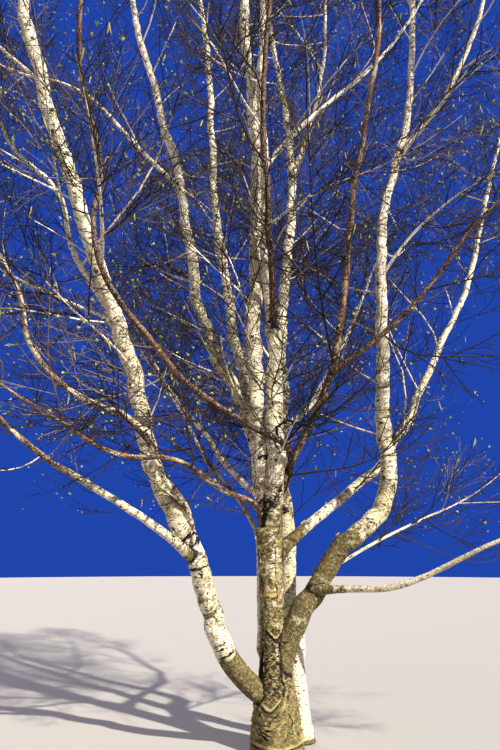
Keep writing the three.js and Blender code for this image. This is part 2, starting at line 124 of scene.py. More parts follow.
LIMBS = {
    "stem_left": shoot(
        "trunk", 0.2, 7.67, (0.178, 0.084), (197, 223, 232),
        (25, 75, 57, 78, 63, 68, 63, 74, 73, 74), (2.35, (228, 214), (74, 84)), 1.1),
    "stem_middle": shoot(
        "trunk", FORK_AT, 6.95, (0.168, 0.074), (235, 248, 256), (73, 97, 74, 85),
        (1.9, (256, 280), (85, 80)), 1.2),
    "stem_mid_left": shoot(
        "trunk", FORK_AT, 7.24, (0.132, 0.064), (166, 149, 153), (89, 61, 82, 73, 71, 87),
        (1.8, (153, 165), (87, 78))),
    "stem_rear_left": shoot(
        "trunk", FORK_AT, 7.4, (0.116, 0.06), (130, 111, 133), (79, 67, 85, 78),
        (1.75, (133, 120), (78, 83))),
    "stem_front": shoot("trunk", FORK_AT, 1.88, (0.166, 0.14), (289,), (60, 93, 97)),
    "stem_front_white": shoot(
        "stem_front", FORK_AT, 4.3, (0.094, 0.058), (241, 289), (73, 90, 81, 85),
        (1.7, (289, 310), (85, 76))),
    "stem_brown": shoot(
        "stem_front", FORK_AT, 3.3, (0.066, 0.038), (271, 251, 320), (56, 59, 83, 71, 88),
        (1.9, (320, 285), (88, 70))),
    "stem_rear": shoot(
        "ground", 0, 9.14, (0.16, 0.058), (141, 57, 138), (87, 79, 79, 71, 82),
        (1.6, (135, 100), (78, 82)), foot=(0.205, 0.25), flare=0.08),
    "stem_right": shoot(
        "trunk", 0.18, 8.1, (0.21, 0.066), (-19, 42, 34),
        (88, 59, 41, 97, 81, 90, 75, 66, 78, 82, 85), (1.9, (34, 10), (85, 76)), 1.9),
    "bough_rear_right": shoot(
        "stem_rear", 0.66, 2.84, (0.066, 0.04), (37, 39), (68, 74, 88),
        (1.45, (39, 60), (88, 74))),
    "bough_left_low": shoot(
        "stem_left", 0.18, 1.91, (0.076, 0.038), (215, 207, 213), (36, 29, 27, 42),
        (1.7, (213, 196), (42, 30))),
    "bough_left_inner": shoot(
        "stem_left", 0.19, 2.92, (0.066, 0.034), (264, 201, 228),
        (91, 27, 64, 13, 39, 79, 44), (1.5, (228, 208), (44, 56))),
    "bough_left_high": shoot(
        "stem_left", 0.45, 2.07, (0.056, 0.03), (189, 202), (54, 56, 83, 31, 67),
        (1.5, (196, 172), (60, 68))),
    "bough_front_left": shoot(
        "trunk", FORK_AT, 2.45, (0.054, 0.028), (236, 219, 203), (65, 5, 32, -10, 29, 27),
        (1.5, (215, 240), (27, 44))),
    "bough_hook": shoot(
        "trunk", FORK_AT, 5.42, (0.06, 0.032), (383, 197, 230, 194, 264, 300),
        (81, 25, 26, 47, 102, 24, 112), (1.7, (262, 240), (72, 66))),
    "bough_brown_right": shoot(
        "trunk", FORK_AT, 4.86, (0.072, 0.038), (-36, -53, -69), (75, 51, 80, 78, 67, 83),
        (1.85, (-69, -40), (83, 70))),
    "bough_arching_right": shoot(
        "bough_brown_right", 0.31, 2, (0.054, 0.032), (-24, -29), (25, 38, 52, 35),
        (1.5, (-29, -46), (35, 52))),
    "bough_left_thin": shoot(
        "trunk", 0.35, 2.81, (0.048, 0.024), (156, 161, 176), (34, 109, 72, 44, 65, 54),
        (1.45, (176, 168), (54, 62))),
    "bough_white_right": shoot(
        "trunk", 0.83, 5.81, (0.098, 0.044), (35, 14, 20), (38, 32, 63, 61, 74, 69),
        (1.8, (20, 8), (69, 78)), 1.1),
    "bough_right_low": shoot(
        "stem_right", 0.12, 1.61, (0.062, 0.032), (-35, -23), (3, 2, 29, 21),
        (1.65, (-23, -8), (21, 40))),
    "bough_outer_left": shoot(
        "stem_mid_left", 0.52, 1.97, (0.05, 0.028), (210, 186), (30, 48, -1),
        (1.35, (186, 165), (20, 52))),
    "bough_outer_right": shoot(
        "stem_middle", 0.49, 2.71, (0.056, 0.03), (7, 7), (59, 43, 59),
        (1.5, (7, 20), (59, 74))),
    "bough_right_high": shoot(
        "stem_right", 0.71, 2.55, (0.06, 0.034), (-19, -44), (39, 65, 78),
        (1.5, (-44, -20), (78, 68))),
    "bough_back_left": shoot(
        "stem_rear", 0.21, 2.75, (0.066, 0.034), (150, 132, 140), (24, 48, 40, 58),
        (1.65, (140, 156), (58, 50))),
    "bough_back_right": shoot(
        "stem_rear", 0.3, 2.9, (0.064, 0.034), (42, 62, 50), (26, 50, 44, 60),
        (1.65, (50, 34), (60, 52))),
    "bough_back_high": shoot(
        "stem_rear_left", 0.36, 2.5, (0.058, 0.03), (88, 104, 96), (38, 58, 50, 66),
        (1.55, (96, 112), (66, 60))),
}
# Masses on the limbs' sides: what each grows on and how far along, length, headings, rises
SIDE_MASSES = {
    "twigs_left_mid": ("stem_left", 0.45, 2.1, (179, 172), (22, 34)),
    "twigs_left_top": ("stem_left", 0.72, 1.8, (205, 188), (30, 56)),
    "twigs_right_thin": ("stem_right", 0.14, 2.5, (13, 32), (30, 19, 36)),
    "twigs_mid_low": ("stem_middle", 0.4, 2.1, (-33, -21), (33, 5, 34)),
    "twigs_right_mid": ("stem_right", 0.51, 2.15, (-28, -34), (57, 22, 44)),
    "twigs_hook_side": ("bough_hook", 0.56, 1.5, (285, 262), (20, 40)),
    "twigs_back_mid": ("stem_rear", 0.5, 1.9, (70, 84), (28, 48)),
    "twigs_back_side": ("stem_mid_left", 0.36, 1.75, (128, 146), (24, 46)),
}
print("limbs", len(LIMBS), "side masses", len(SIDE_MASSES))

# %% [markdown]
# ## Growing a line
# A limb's shape is a walk: take an even step, turn a little, take the next. The heading
# and the rise are read from short lists, so a long winding stem needs only a handful of
# numbers. The same walk is taken twice, once in the solids' own steps, to find where each
# limb starts, and once in many small steps, to carry a smooth mesh.

# %% Walk, place and frame a line
LIMB_STEPS = 40
MASS_STEPS = 8
FINE_STEPS = 320


def along(values, share):
    """The value at a share of the way through an evenly spaced list"""
    places = np.clip(share, 0, 1) * (len(values) - 1)
    return np.interp(places, np.arange(len(values)), values)


def walk(start, limb, steps):
    """Even steps from a start, each turned by the headings and the rises"""
    share = (np.arange(steps) + 0.5) / steps
    turn = np.radians(along(limb["heading"], share))
    lift = np.radians(along(limb["rise"], share))
    ways = np.stack([np.cos(lift) * np.cos(turn), np.cos(lift) * np.sin(turn), np.sin(lift)], 1)
    moved = np.cumsum(ways * limb["length"] / steps, axis=0)
    return start + np.vstack([np.zeros((1, 3)), moved])


def read_off(line, known, places):
    """Points of a line at places on the scale that its known points lie on"""
    return np.stack([np.interp(places, known, line[:, k]) for k in range(3)], -1)


def point_at(line, share):
    """Points at shares of a line"""
    return read_off(line, np.arange(len(line)), np.asarray(share) * (len(line) - 1))


def unit(ways):
    return ways / np.linalg.norm(ways, axis=-1, keepdims=True)


def frames_of(line):
    """The way ahead and two ways across at each point, turned as little as the line allows"""
    before = line[np.maximum(np.arange(len(line)) - 1, 0)]
    after = line[np.minimum(np.arange(len(line)) + 1, len(line) - 1)]
    ahead = unit(after - before)
    side = np.array([1.0, 0, 0]) if abs(ahead[0, 0]) < 0.8 else np.array([0, 1.0, 0])
    sides = []
    for way in ahead:
        side = unit(side - way * side.dot(way))
        sides.append(side)
    sides = np.array(sides)
    return ahead, sides, np.cross(ahead, sides)


lines = {"trunk": walk(np.zeros(3), TRUNK, LIMB_STEPS)}
for name, limb in LIMBS.items():
    if limb["on"] == "ground":
        start = np.array([*limb["foot"], 0])
    else:
        start = point_at(lines[limb["on"]], limb["at"])
    lines[name] = walk(start, limb, LIMB_STEPS)
print("highest limb tip", round(max(line[-1, 2] for line in lines.values()), 2))

# %% Girths and the masses' own lines
FLARE_FADE = 0.17
TIP_SHARE = 0.995
MASS_TIP_GIRTH = 0.009
SIDE_MASS_GIRTH = 0.034
LEADER_PART = 0.97
FIRST_SEED, SEED_STEP = 31, 977


def girth_at(name, share):
    """How thick the trunk or a limb is at shares of its line"""
    if name == "trunk":
        return np.interp(share * TRUNK["length"], TRUNK_HEIGHTS, TRUNK_GIRTHS)
    limb = LIMBS[name]
    foot, tip = limb["girth"]
    flare = limb.get("flare", 0) * np.exp(-share * limb["length"] / FLARE_FADE)
    return tip + (foot - tip) * np.maximum(1 - share, 0) ** limb["bend"] + flare


def tapered(first, last, share):
    return first + (last - first) * share


def mass_past(name):
    """The name of the mass of twigs past a limb's tip"""
    return "twigs_" + name.split("_", 1)[1]


masses = {}
for name, limb in LIMBS.items():
    if "mass" in limb:
        girth = limb["girth"][1] * LEADER_PART
        masses[mass_past(name)] = dict(on=name, at=TIP_SHARE, girth=girth, **limb["mass"])
for name, (on, at, *sizes) in SIDE_MASSES.items():
    masses[name] = dict(on=on, at=at, girth=SIDE_MASS_GIRTH, **dict(zip(MASS_SIZES, sizes)))
for i, mass in enumerate(masses.values()):
    mass["start"] = point_at(lines[mass["on"]], mass["at"])
    mass["line"] = walk(mass["start"], mass, MASS_STEPS)
    mass["seed"] = FIRST_SEED + SEED_STEP * i
print("masses", len(masses))

# %% [markdown]
# ## Bark as a mesh
# Each limb could be a curve with a round bevel, but a curve can't carry relief. So each is
# a dense tube whose rings are made in code. Every point also keeps its place on the limb
# as if it were straightened out, and its age, whiteness, and scars with painted shade, in
# named attributes: the bark's material reads these, so its marks lie across the stem
# whichever way it leans.
# A stem goes on past its solid's tip into the leader that its twigs hang on, and a bough
# widens where it leaves the limb that carries it.

# %% A tube of rings
LEAST_STRAIGHT = 0.045
NOISE_SHIFT = (3.7, 1.3, 5.1)


def far_along(line):
    """How far along a line each of its points lies"""
    return np.concatenate([[0], np.cumsum(np.linalg.norm(np.diff(line, axis=0), axis=1))])


class Tube:
    """A limb's rings: centres, frames, radii and how far along they lie"""

    def __init__(self, name, line, girth, sides):
        self.name = name
        self.line = line
        self.sides = sides
        self.far = far_along(line)
        self.radius = girth / 2
        self.ahead, self.side, self.across = frames_of(line)
        self.angle = 2 * math.pi * np.arange(sides) / sides
        # The dark values hold real scars and also painted shade, and the pale crests hold a painted
        # highlight
        self.extra, self.crest, self.scar = np.zeros((3, len(line), sides))

    def out(self):
        """The outward way at each point"""
        cosine, sine = np.cos(self.angle)[None, :, None], np.sin(self.angle)[None, :, None]
        return self.side[:, None] * cosine + self.across[:, None] * sine

    def points(self):
        """The surface, with nothing below the ground"""
        surface = self.line[:, None] + self.out() * (self.radius[:, None] + self.extra)[..., None]
        surface[..., 2] = np.maximum(surface[..., 2], 0)
        return surface

    def straight(self):
        """Each point's place on the limb as if it were straight"""
        radius = np.maximum(self.radius, LEAST_STRAIGHT)[:, None]
        x, y = radius * np.cos(self.angle), radius * np.sin(self.angle)
        return np.stack([x, y, np.repeat(self.far[:, None], self.sides, 1)], -1)

    def lay(self, shape, swell=0, crest=0, dark=0):
        """Adds parts of a shape to the relief, to the pale crests that carry a painted highlight, and to
        the dark scars and painted shade
        """
        self.extra += swell * shape
        self.crest += crest * shape
        self.scar += dark * shape


def ripple(places, size, seed):
    """Soft noise at many places, between -1 and 1"""
    shift = Vector([seed * step for step in NOISE_SHIFT])
    flat = places.reshape(-1, 3) / size
    values = [noise.noise(Vector(place) + shift) for place in flat]
    return np.array(values).reshape(places.shape[:-1])


def ripple_along(far, size, seed):
    """Soft noise by how far along a limb it is"""
    return ripple(np.stack([far, 0 * far, 0 * far], -1), size, seed)


def rising(value, start, width):
    """0 up to a start, then up to 1 over a width"""
    return np.clip((value - start) / width, 0, 1)


def falling(value, end, width):
    """1 until a width before an end, then down to 0 at the end"""
    return np.clip((end - value) / width, 0, 1)


print("a tube's straightened radius is at least", LEAST_STRAIGHT)

# %% A limb's smooth line
LEAST_LEADER = 0.005
JOIN_BEFORE = 0.02
HUGGING = "bough_left_thin"


def hugged(line, girth, low=0.68, soft_low=0.1, past_top=0.02, soft_high=0.25, sunk=0.3):
    """The line drawn in against the trunk's side up to the trunk's top"""
    height, top = line[:, 2], TRUNK["length"]
    share = np.clip(height / top, 0, 1)
    axis = point_at(lines["trunk"], share)
    arm = (line - axis) * (1, 1, 0)
    far = np.maximum(np.linalg.norm(arm, axis=1), 1e-6)
    close = girth_at("trunk", share) / 2 + sunk * girth
    wanted = axis + arm / far[:, None] * close[:, None]
    wanted[:, 2] = height
    drawn = rising(height, low, soft_low) * falling(height, top + past_top, soft_high)
    return line + (wanted - line) * drawn[:, None]


def leader_line(mass):
    """The smooth line and girths of the leader that a mass of twigs hangs on"""
    line = walk(mass["start"], mass, FINE_STEPS // 4)
    return line, tapered(mass["girth"], LEAST_LEADER, np.linspace(0, 1, len(line)))


def limb_line(name):
    """A limb's smooth line and girths, on through its leader"""
    share = np.linspace(0, 1, FINE_STEPS + 1)
    line, girth = walk(lines[name][0], LIMBS[name], FINE_STEPS), girth_at(name, share)
    if name == HUGGING:
        line = hugged(line, girth)
    if "mass" not in LIMBS[name]:
        return line, girth
    keep = share < TIP_SHARE - JOIN_BEFORE
    leader, leader_girth = leader_line(masses[mass_past(name)])
    return np.vstack([line[keep], leader[2:]]), np.concatenate([girth[keep], leader_girth[2:]])


print("drawn in against the trunk", HUGGING)

# %% Tubes for all limbs and leaders
STEM_GIRTH = 0.084
STEM_SIDES, BOUGH_SIDES = 40, 16
WIDENED_BELOW = 0.9


def crooked(line, radius, seed, part=0.75, over=0.8, calm=0.3, long=0.42, short=0.13, fine=0.4):
    """A line that wanders off its course by a part of its radius, as wood does"""
    far = far_along(line)
    amount = part * radius * np.clip(far / over - calm, 0, 1)
    for axis, own in zip(frames_of(line)[1:], (seed, seed + 50)):
        wander = ripple_along(far, long, own) + fine * ripple_along(far, short, own + 9)
        line = line + axis * (amount * wander)[:, None]
    return line


def spaced(length, first, last):
    """Distances from 0 to a length whose spacing widens from first to last"""
    count = int(2 * length / (first + last)) + 2
    share = np.linspace(0, 1, count)
    widening = (last - first) / (last + first)
    return length * (share * (1 - widening) + share ** 2 * widening)


def tube_for(name, line, girth, seed, part=0.085, least=0.007, most=0.014, widen=2.4,
             foot_part=0.42, foot_most=0.009):
    """A crooked tube whose rings lie wider apart towards its tip"""
    last = widen * float(np.clip(girth[0] * part, least, most))
    line = crooked(line, girth / 2, seed)
    far = far_along(line)
    places = spaced(far[-1], min(foot_part * last, foot_most), last)
    sides = STEM_SIDES if girth[0] > STEM_GIRTH else BOUGH_SIDES
    return Tube(name, read_off(line, far, places), np.interp(places, far, girth), sides)


def widen_root(tube, limb, swell=0.65, fade=2.6):
    """Widens a bough where it comes out of the limb that carries it"""
    buried = girth_at(limb["on"], limb["at"]) / 2
    clear = np.maximum(tube.far - buried, 0) / (fade * tube.radius[0])
    tube.radius = tube.radius * (1 + swell * np.exp(-clear))


tubes = {}
for i, name in enumerate(LIMBS):
    tubes[name] = tube_for(name, *limb_line(name), i)
for i, name in enumerate(SIDE_MASSES):
    thin = name.replace("twigs_", "thin_bough_")
    tubes[thin] = tube_for(thin, *leader_line(masses[name]), i + len(LIMBS))
for name, limb in LIMBS.items():
    if name.startswith("bough") and limb["at"] < WIDENED_BELOW:
        widen_root(tubes[name], limb)
print("tubes", len(tubes), "rings", sum(len(tube.line) for tube in tubes.values()))

# %% [markdown]
# ## The trunk's own shape
# The old foot of the clump is rough: a curled lip of bark runs round it near the ground,
# slanting folds climb towards the right-hand stem, and collars show where the trunk has
# thickened over old bark. These are waves in the radius, each worked out from the height
# and the angle round the trunk. Their ridges carry a painted highlight, and painted shade
# darkens the hollows and a line under each ridge.

# %% The trunk's smooth tube
TRUNK_SIDES = 168
TRUNK_RINGS = 250
FRONT = 270


def hump(distance, width):
    return np.exp(-(distance / width) ** 2)


def turned(angle):
    """An angle brought between minus and plus half a turn"""
    return (angle + math.pi) % (2 * math.pi) - math.pi


def make_trunk(soften=15, dome=0.09, dome_depth=0.98):
    """Level rings with softened girths, lobed at the foot and domed at the top"""
    heights = np.linspace(0, TRUNK["length"], TRUNK_RINGS)
    line = point_at(lines["trunk"], heights / TRUNK["length"])
    line[:, 2] = heights
    padded = np.pad(np.interp(heights, TRUNK_HEIGHTS, TRUNK_GIRTHS), soften // 2, mode="edge")
    girth = np.convolve(padded, np.ones(soften) / soften, mode="valid")
    tube = Tube("trunk", line, girth, TRUNK_SIDES)
    for axes, way in zip((tube.side, tube.across, tube.ahead), np.eye(3)):
        axes[:] = way
    lobe = np.cos(TRUNK["lobes"] * (tube.angle - math.radians(TRUNK["lobe_turn"])))
    depth = tube.radius * TRUNK["lobe_depth"] * np.exp(-heights / TRUNK["lobe_fade"])
    tube.lay(depth[:, None] * lobe, 1)
    top = rising(heights, TRUNK["length"] - dome, dome)
    tube.radius = tube.radius * np.sqrt(1 - top ** 2 * dome_depth)
    return tube


trunk = make_trunk()
print("trunk rings", len(trunk.line), "foot", round(float(trunk.points()[0, :, 0].max()), 3))


# %% The lip, the folds and the crescent
def facing(angle, way, half, start):
    """1 for angles near a way round in degrees, less than 1 past a part of half a width"""
    off = np.abs(turned(angle - math.radians(way)))
    return np.clip(start - off / math.radians(half), 0, 1)


def add_lip(tube, low=0.056, swell=0.017, thick=0.011, smile=0.055, wave=0.01, crest=1.1,
            even=0.85, uneven=0.8, drop=0.021, under=0.008, cut=0.006, dark=0.8):
    """The curled lip of bark near the ground, lowest at the front, with a painted highlight on it and
    painted shade beneath
    """
    rise = smile * (1 - np.cos(angle - math.radians(FRONT)))
    level = height - low - rise - wave * wander
    lip = hump(level, thick) * np.clip(even + uneven * wander, 0.3, 1.3)
    # Pale paint on the lip is a painted highlight, and the dark line under it is painted shade
    tube.lay(lip, swell, crest)
    tube.lay(hump(level + drop, under), -cut, 0, dark)


def add_folds(tube, low=0.08, high=0.31, top=0.5, soft=0.03, middle=-0.05, curve=4.6, climb=0.42,
              across=0.036, spacing=0.0145, sharp=3.4, swell=0.0095, crest=0.48, dark=0.75):
    """Sagging folds that climb towards the right, under a crescent where the stems part"""
    side = tube.radius[:, None] * turned(angle - math.radians(FRONT)) - middle
    sag = height - curve * side ** 2 - climb * np.maximum(side, 0) + soft * wander
    near = facing(angle, FRONT, 80, 1.5)
    sag = sag * near + height * (1 - near)
    x, y = (across * way + 0 * sag for way in (np.cos(angle), np.sin(angle)))
    wave = np.abs(ripple(np.stack([x, y, sag], -1), spacing, 5))
    zone = rising(height, low, soft) * falling(sag, high, soft) * falling(height, top, 0.08)
    zone = zone * np.clip(1 + 2 * ripple(tube.straight(), 0.05, 6), 0.1, 1.6)
    ridge = np.clip(1 - wave * sharp, -0.6, 1) * zone
    tube.lay(ridge, swell)
    # A painted highlight on the ridges, and painted shade in the troughs between them
    tube.lay(np.clip(ridge, 0, 1) ** 1.5, crest=crest)
    tube.lay(np.clip(wave * 3 - 0.75, 0, 1) * zone, dark=dark)
    add_crescent(tube, sag, side, near)


def add_crescent(tube, sag, side, near, level=0.32, half=0.12, swell=0.011, dark=0.9):
    """A sagging ridge above the folds, with a painted highlight on top and painted shade beneath"""
    up = sag - level
    seen = np.clip(2.2 - 2.4 * np.abs(side) / half, 0, 1) * near
    tube.lay(hump(up, 0.01) * seen, swell)
    tube.lay(hump(up - 0.002, 0.008) * seen, crest=1)
    tube.lay(hump(up + 0.016, 0.007) * seen, dark=dark)


height, angle = trunk.far[:, None], trunk.angle[None, :]
wander = ripple(trunk.straight(), 0.11, 3)
add_lip(trunk)
add_folds(trunk)
print("relief from", round(float(trunk.extra.min()), 4), "to", round(float(trunk.extra.max()), 4))

# %% Collars, grooves, rough bark and painted shade
# Level, swell, the way that it faces, half its width in degrees, and how far its middle hangs
COLLARS = (
    (1.185, 0.006, 268, 44, 0.012),
    (0.93, 0.012, 277, 48, 0.09),
    (1.47, 0.004, 300, 50, 0.02),
    (1.36, 0.003, 235, 40, 0.02),
    (0.7, 0.006, 300, 35, 0.03),
    (1.02, 0.006, 90, 80, 0.04),
    (0.55, 0.006, 120, 60, 0.05),
    (1.3, 0.006, 60, 60, 0.03),
)
# Lowest, highest, the way that it faces at each end, and how dark its painted shade is
GROOVES = (
    (0.3, 0.98, 289, 296, 0.22),
    (1.12, 1.62, 295, 291, 0.6),
    (0.62, 1.6, 214, 212, 0.6),
    (0.12, 0.33, 318, 292, 0.6),
)
SOFT_END = 0.05


def stretch(value, low, high):
    """1 between two bounds, fading to 0 just inside them"""
    return rising(value, low, SOFT_END) * falling(value, high, SOFT_END)


def add_collar(tube, level, swell, way, half, hang, wave=0.014, thick=0.013, drop=0.019, under=0.009):
    """A ridge part of the way round, with a painted highlight on it and a line of painted shade under it"""
    sideways = np.abs(turned(angle - math.radians(way)) / math.radians(half))
    seen = np.clip(1.5 - sideways * 1.5, 0, 1)
    up = height - level + hang * (1 - np.minimum(sideways, 1)) - wave * wander
    tube.lay(hump(up, thick) * seen, swell, 1)
    tube.lay(hump(up + drop, under) * seen, dark=min(0.9, 110 * swell))


def add_groove(tube, low, high, foot, top, dark, sway=0.26, width=0.006, depth=0.01,
               beside=0.016, edge=0.008, crest=0.4):
    """A sunken line up the trunk painted dark as shade, with a painted highlight on the edge beside it"""
    turn = math.radians(top - foot) * rising(height, low, high - low)
    across = turned(angle - (math.radians(foot) + turn + sway * wander)) * tube.radius[:, None]
    zone = stretch(height, low, high)
    tube.lay(hump(across, width) * zone * np.clip(0.9 + 1.4 * wander, 0.2, 1.2), -depth, 0, dark)
    tube.lay(hump(across - beside, edge) * zone, crest=crest)


def add_roughness(tube, long=0.035, short=0.013, swell=0.0045, crest=0.6, dark=0.5):
    """Small lumps over all of the trunk, with a painted highlight where they stand out and painted shade
    between
    """
    places = tube.straight()
    rough = ripple(places * (1, 1, 0.6), long, 8) + 0.6 * ripple(places, short, 9)
    tube.lay(rough, swell)
    tube.lay(np.clip(rough - 0.15, 0, 1), crest=crest)
    tube.lay(np.clip(-rough - 0.3, 0, 1), dark=dark)


def add_bulge(tube, way=225, swell=0.02, level=0.12, reach=0.16):
    """A broad swelling of the foot"""
    towards = np.clip(np.cos(angle - math.radians(way)), 0, 1) ** 2
    tube.lay(towards * hump(height - level, reach), swell)


def add_painted_shade(tube, way=250, half=62, low=0.36, high=0.94, dark=0.42):
    """Painted shade on the side that the left stem covers"""
    tube.lay(facing(angle, way, half, 1.6) * stretch(height, low, high), dark=dark)


for collar in COLLARS:
    add_collar(trunk, *collar)
for groove in GROOVES:
    add_groove(trunk, *groove)
for add in (add_roughness, add_bulge, add_painted_shade):
    add(trunk)
print("collars", len(COLLARS), "grooves", len(GROOVES))

# %% [markdown]
# ## Relief, scars and knots on the limbs
# A birch stem is never a smooth cone. It swells and narrows, and under each place where a
# twig or a bough left it there is a dark mark shaped like a drooping moustache, over a
# small swelling. The marks are dealt out by a seeded rule, and one sits over every bough.

# %% Relief and drooping marks
# Part of the radius, how far the noise is squeezed across and along, its size and its seed
RELIEF = ((0.055, 1, 1, 0.19, 0), (0.0275, 1, 2.5, 0.05, 40), (0.012, 0.35, 2.2, 0.03, 70))
# Drop, height and width of a mark's eye and of the swelling under it, in half lengths
EYE_SPOT, LUMP_SPOT = (0.45, 0.28, 0.22), (0.3, 0.6, 0.7)
MARK_SPACING = 0.42
MARKS_FROM = {"stem_right": 0.9, "stem_left": 0.8}
NO_MARKS_BEFORE = 0.25


def add_relief(tube, seed):
    """Swellings and fine bands on a limb"""
    places = tube.straight()
    for part, across, ahead, size, more in RELIEF:
        wave = ripple(places * (across, across, ahead), size, seed + more)
        tube.lay(part * tube.radius[:, None] * wave, 1)


def add_mark(tube, far, angle, size, droop=0.55, dark=1.0, thin=0.16, eye_dark=0.8, swell=0.12):
    """A drooping dark mark, an eye under its middle and the swelling that it crowns"""
    rows = np.abs(tube.far - far) < size * 2.4
    sideways = turned(tube.angle[None, :] - angle) * tube.radius[rows][:, None]
    up = tube.far[rows][:, None] - far

    def spot(drop, high, wide):
        return hump(up + size * drop, size * high) * hump(sideways, size * wide)

    reach = np.clip(1.6 - np.abs(sideways) / size, 0, 1)
    line = hump(up + droop * np.abs(sideways), size * thin) * reach
    tube.scar[rows] += dark * (line + eye_dark * spot(*EYE_SPOT))
    tube.extra[rows] += swell * size * spot(*LUMP_SPOT)


rng = np.random.default_rng(20)
mark_count = 0
for order, (name, tube) in enumerate(tubes.items()):
    add_relief(tube, order)
    for k in range(int(tube.far[-1] / MARK_SPACING)):
        far = (k + rng.uniform(0.2, 0.9)) * MARK_SPACING
        turn = rng.uniform(0, 2 * math.pi)
        size = float(np.interp(far, tube.far, tube.radius)) * rng.uniform(0.45, 0.9)
        dark = rng.uniform(0.4, 0.95)
        if far > MARKS_FROM.get(name, NO_MARKS_BEFORE):
            add_mark(tube, far, turn, size, dark=dark)
            mark_count += 1
print("marks", mark_count)

# %% Marks over the boughs, seen marks and cracks
# Limb, how far along, turn from the picture's side, half length, droop and darkness
SEEN_MARKS = (
    ("stem_left", 0.6, 0, 0.075, 0.1, 0.75), ("stem_left", 0.645, 20, 0.07, 0.0, 0.65),
    ("stem_left", 0.69, -15, 0.075, 0.15, 0.7), ("stem_left", 0.74, 10, 0.06, 0.1, 0.6),
    ("stem_left", 0.8, -20, 0.05, 0.1, 0.6), ("stem_left", 1.3, 0, 0.11, -0.15, 1.0),
    ("stem_left", 1.62, 10, 0.11, 0.3, 1.0),
    ("stem_right", 0.5, -15, 0.05, -0.3, 0.9), ("stem_right", 1.75, 0, 0.07, 0.5, 0.8),
    ("stem_right", 2.45, -20, 0.06, 0.6, 0.7), ("stem_middle", 0.3, 0, 0.07, 0.8, 1.0),
    ("stem_middle", 1.74, 0, 0.07, 0.9, 1.0), ("stem_front", 0.3, -20, 0.06, 0.7, 0.9),
    ("stem_mid_left", 0.9, 0, 0.06, 0.7, 1.0), ("stem_rear", 1.5, 0, 0.05, 0.5, 0.8),
)
SEEN_THIN = 0.13
# Limb, from, to, turn from the picture's side and darkness
CRACKS = (
    ("stem_left", 0.78, 1.2, 12, 0.6), ("stem_left", 0.12, 0.42, 60, 0.6),
    ("stem_front", 0.35, 1.1, -35, 0.7), ("stem_middle", 0.2, 0.9, 45, 0.7),
    ("stem_right", 0.55, 1.1, 30, 0.5),
)


def angle_towards(tube, far, point):
    """The angle round a tube that faces a point"""
    i = int(np.argmin(np.abs(tube.far - far)))
    arm = point - tube.line[i]
    return math.atan2(arm.dot(tube.across[i]), arm.dot(tube.side[i]))


def seen_angle(tube, far, turn):
    """The angle that is a turn in degrees from the side that faces the camera"""
    return angle_towards(tube, far, np.array(EYE)) + math.radians(turn)


def mark_over(child, tube, far, up=1.6, size=1.9):
    """A dark mark above the place where a bough leaves a limb"""
    girth = child.radius[0]
    clear = float(np.interp(far, tube.far, tube.radius)) + girth
    around = angle_towards(tube, far, point_at(child.line, min(2 * clear / child.far[-1], 1)))
    add_mark(tube, far + up * girth, around, size * girth)


def add_crack(tube, start, end, turn, dark, sway=0.5, waves=0.12, width=0.004):
    """A thin dark line along a limb, a turn round from the side that faces the picture"""
    centre = seen_angle(tube, (start + end) / 2, turn) + sway * ripple_along(tube.far, waves, 12)
    across = turned(tube.angle[None, :] - centre[:, None]) * tube.radius[:, None]
    tube.lay(hump(across, width) * stretch(tube.far, start, end)[:, None], dark=dark)


for name, limb in LIMBS.items():
    if limb["on"] in tubes:
        mark_over(tubes[name], tubes[limb["on"]], limb["at"] * LIMBS[limb["on"]]["length"])
for name, far, turn, size, droop, dark in SEEN_MARKS:
    add_mark(tubes[name], far, seen_angle(tubes[name], far, turn), size, droop, dark, SEEN_THIN)
for name, *crack in CRACKS:
    add_crack(tubes[name], *crack)
print("seen marks", len(SEEN_MARKS), "cracks", len(CRACKS))

# %% Painted shade by the forks
# Painted shade on each limb from its foot up to how far along, where it lies in shade by the great fork
PAINTED_SHADE_TO = {"bough_hook": 1.0, "bough_brown_right": 0.55, "stem_brown": 0.2}
FORK_PAINTED_SHADE, FORK_SOFT = 0.5, 0.3
# Painted shadow: a band over the great fork where the hooked bough casts its shadow, and one in the shaded
# corner of the left stem
PAINTED_SHADOW_BANDS = (
    dict(low=(-0.17, -0.125, 1.75), high=(0.05, -0.215, 2.05), width=0.066, dark=0.66,
         on=("stem_front", "stem_middle", "bough_hook", "bough_brown_right")),
    dict(low=(-0.15, -0.06, 0.37), high=(-0.13, -0.04, 0.62), width=0.045, dark=0.9,
         on=("trunk", "stem_left")),
)
all_tubes = {"trunk": trunk, **tubes}


def nearest(points, line):
    """Distance from each point to a line, and the share of the line that is nearest"""
    span = np.diff(line, axis=0)
    arm = points[:, None] - line[None, :-1]
    t = np.clip((arm * span).sum(2) / (span ** 2).sum(1), 0, 1)
    gap = np.linalg.norm(arm - t[..., None] * span, axis=2)
    best = gap.argmin(1)
    rows = np.arange(len(points))
    return gap[rows, best], (best + t[rows, best]) / len(span)


# Paints shade near the foot of each of these limbs
for name, end in PAINTED_SHADE_TO.items():
    near = np.clip((end - tubes[name].far) / FORK_SOFT + 0.5, 0, 1)
    tubes[name].lay(near[:, None], dark=FORK_PAINTED_SHADE)
# Paints each shadow band on the limbs that it crosses
for band in PAINTED_SHADOW_BANDS:
    for name in band["on"]:
        tube = all_tubes[name]
        gap, _ = nearest(tube.points().reshape(-1, 3), np.array([band["low"], band["high"]]))
        tube.lay(hump(gap, band["width"]).reshape(tube.scar.shape), dark=band["dark"])
print("dark bands", len(PAINTED_SHADOW_BANDS))

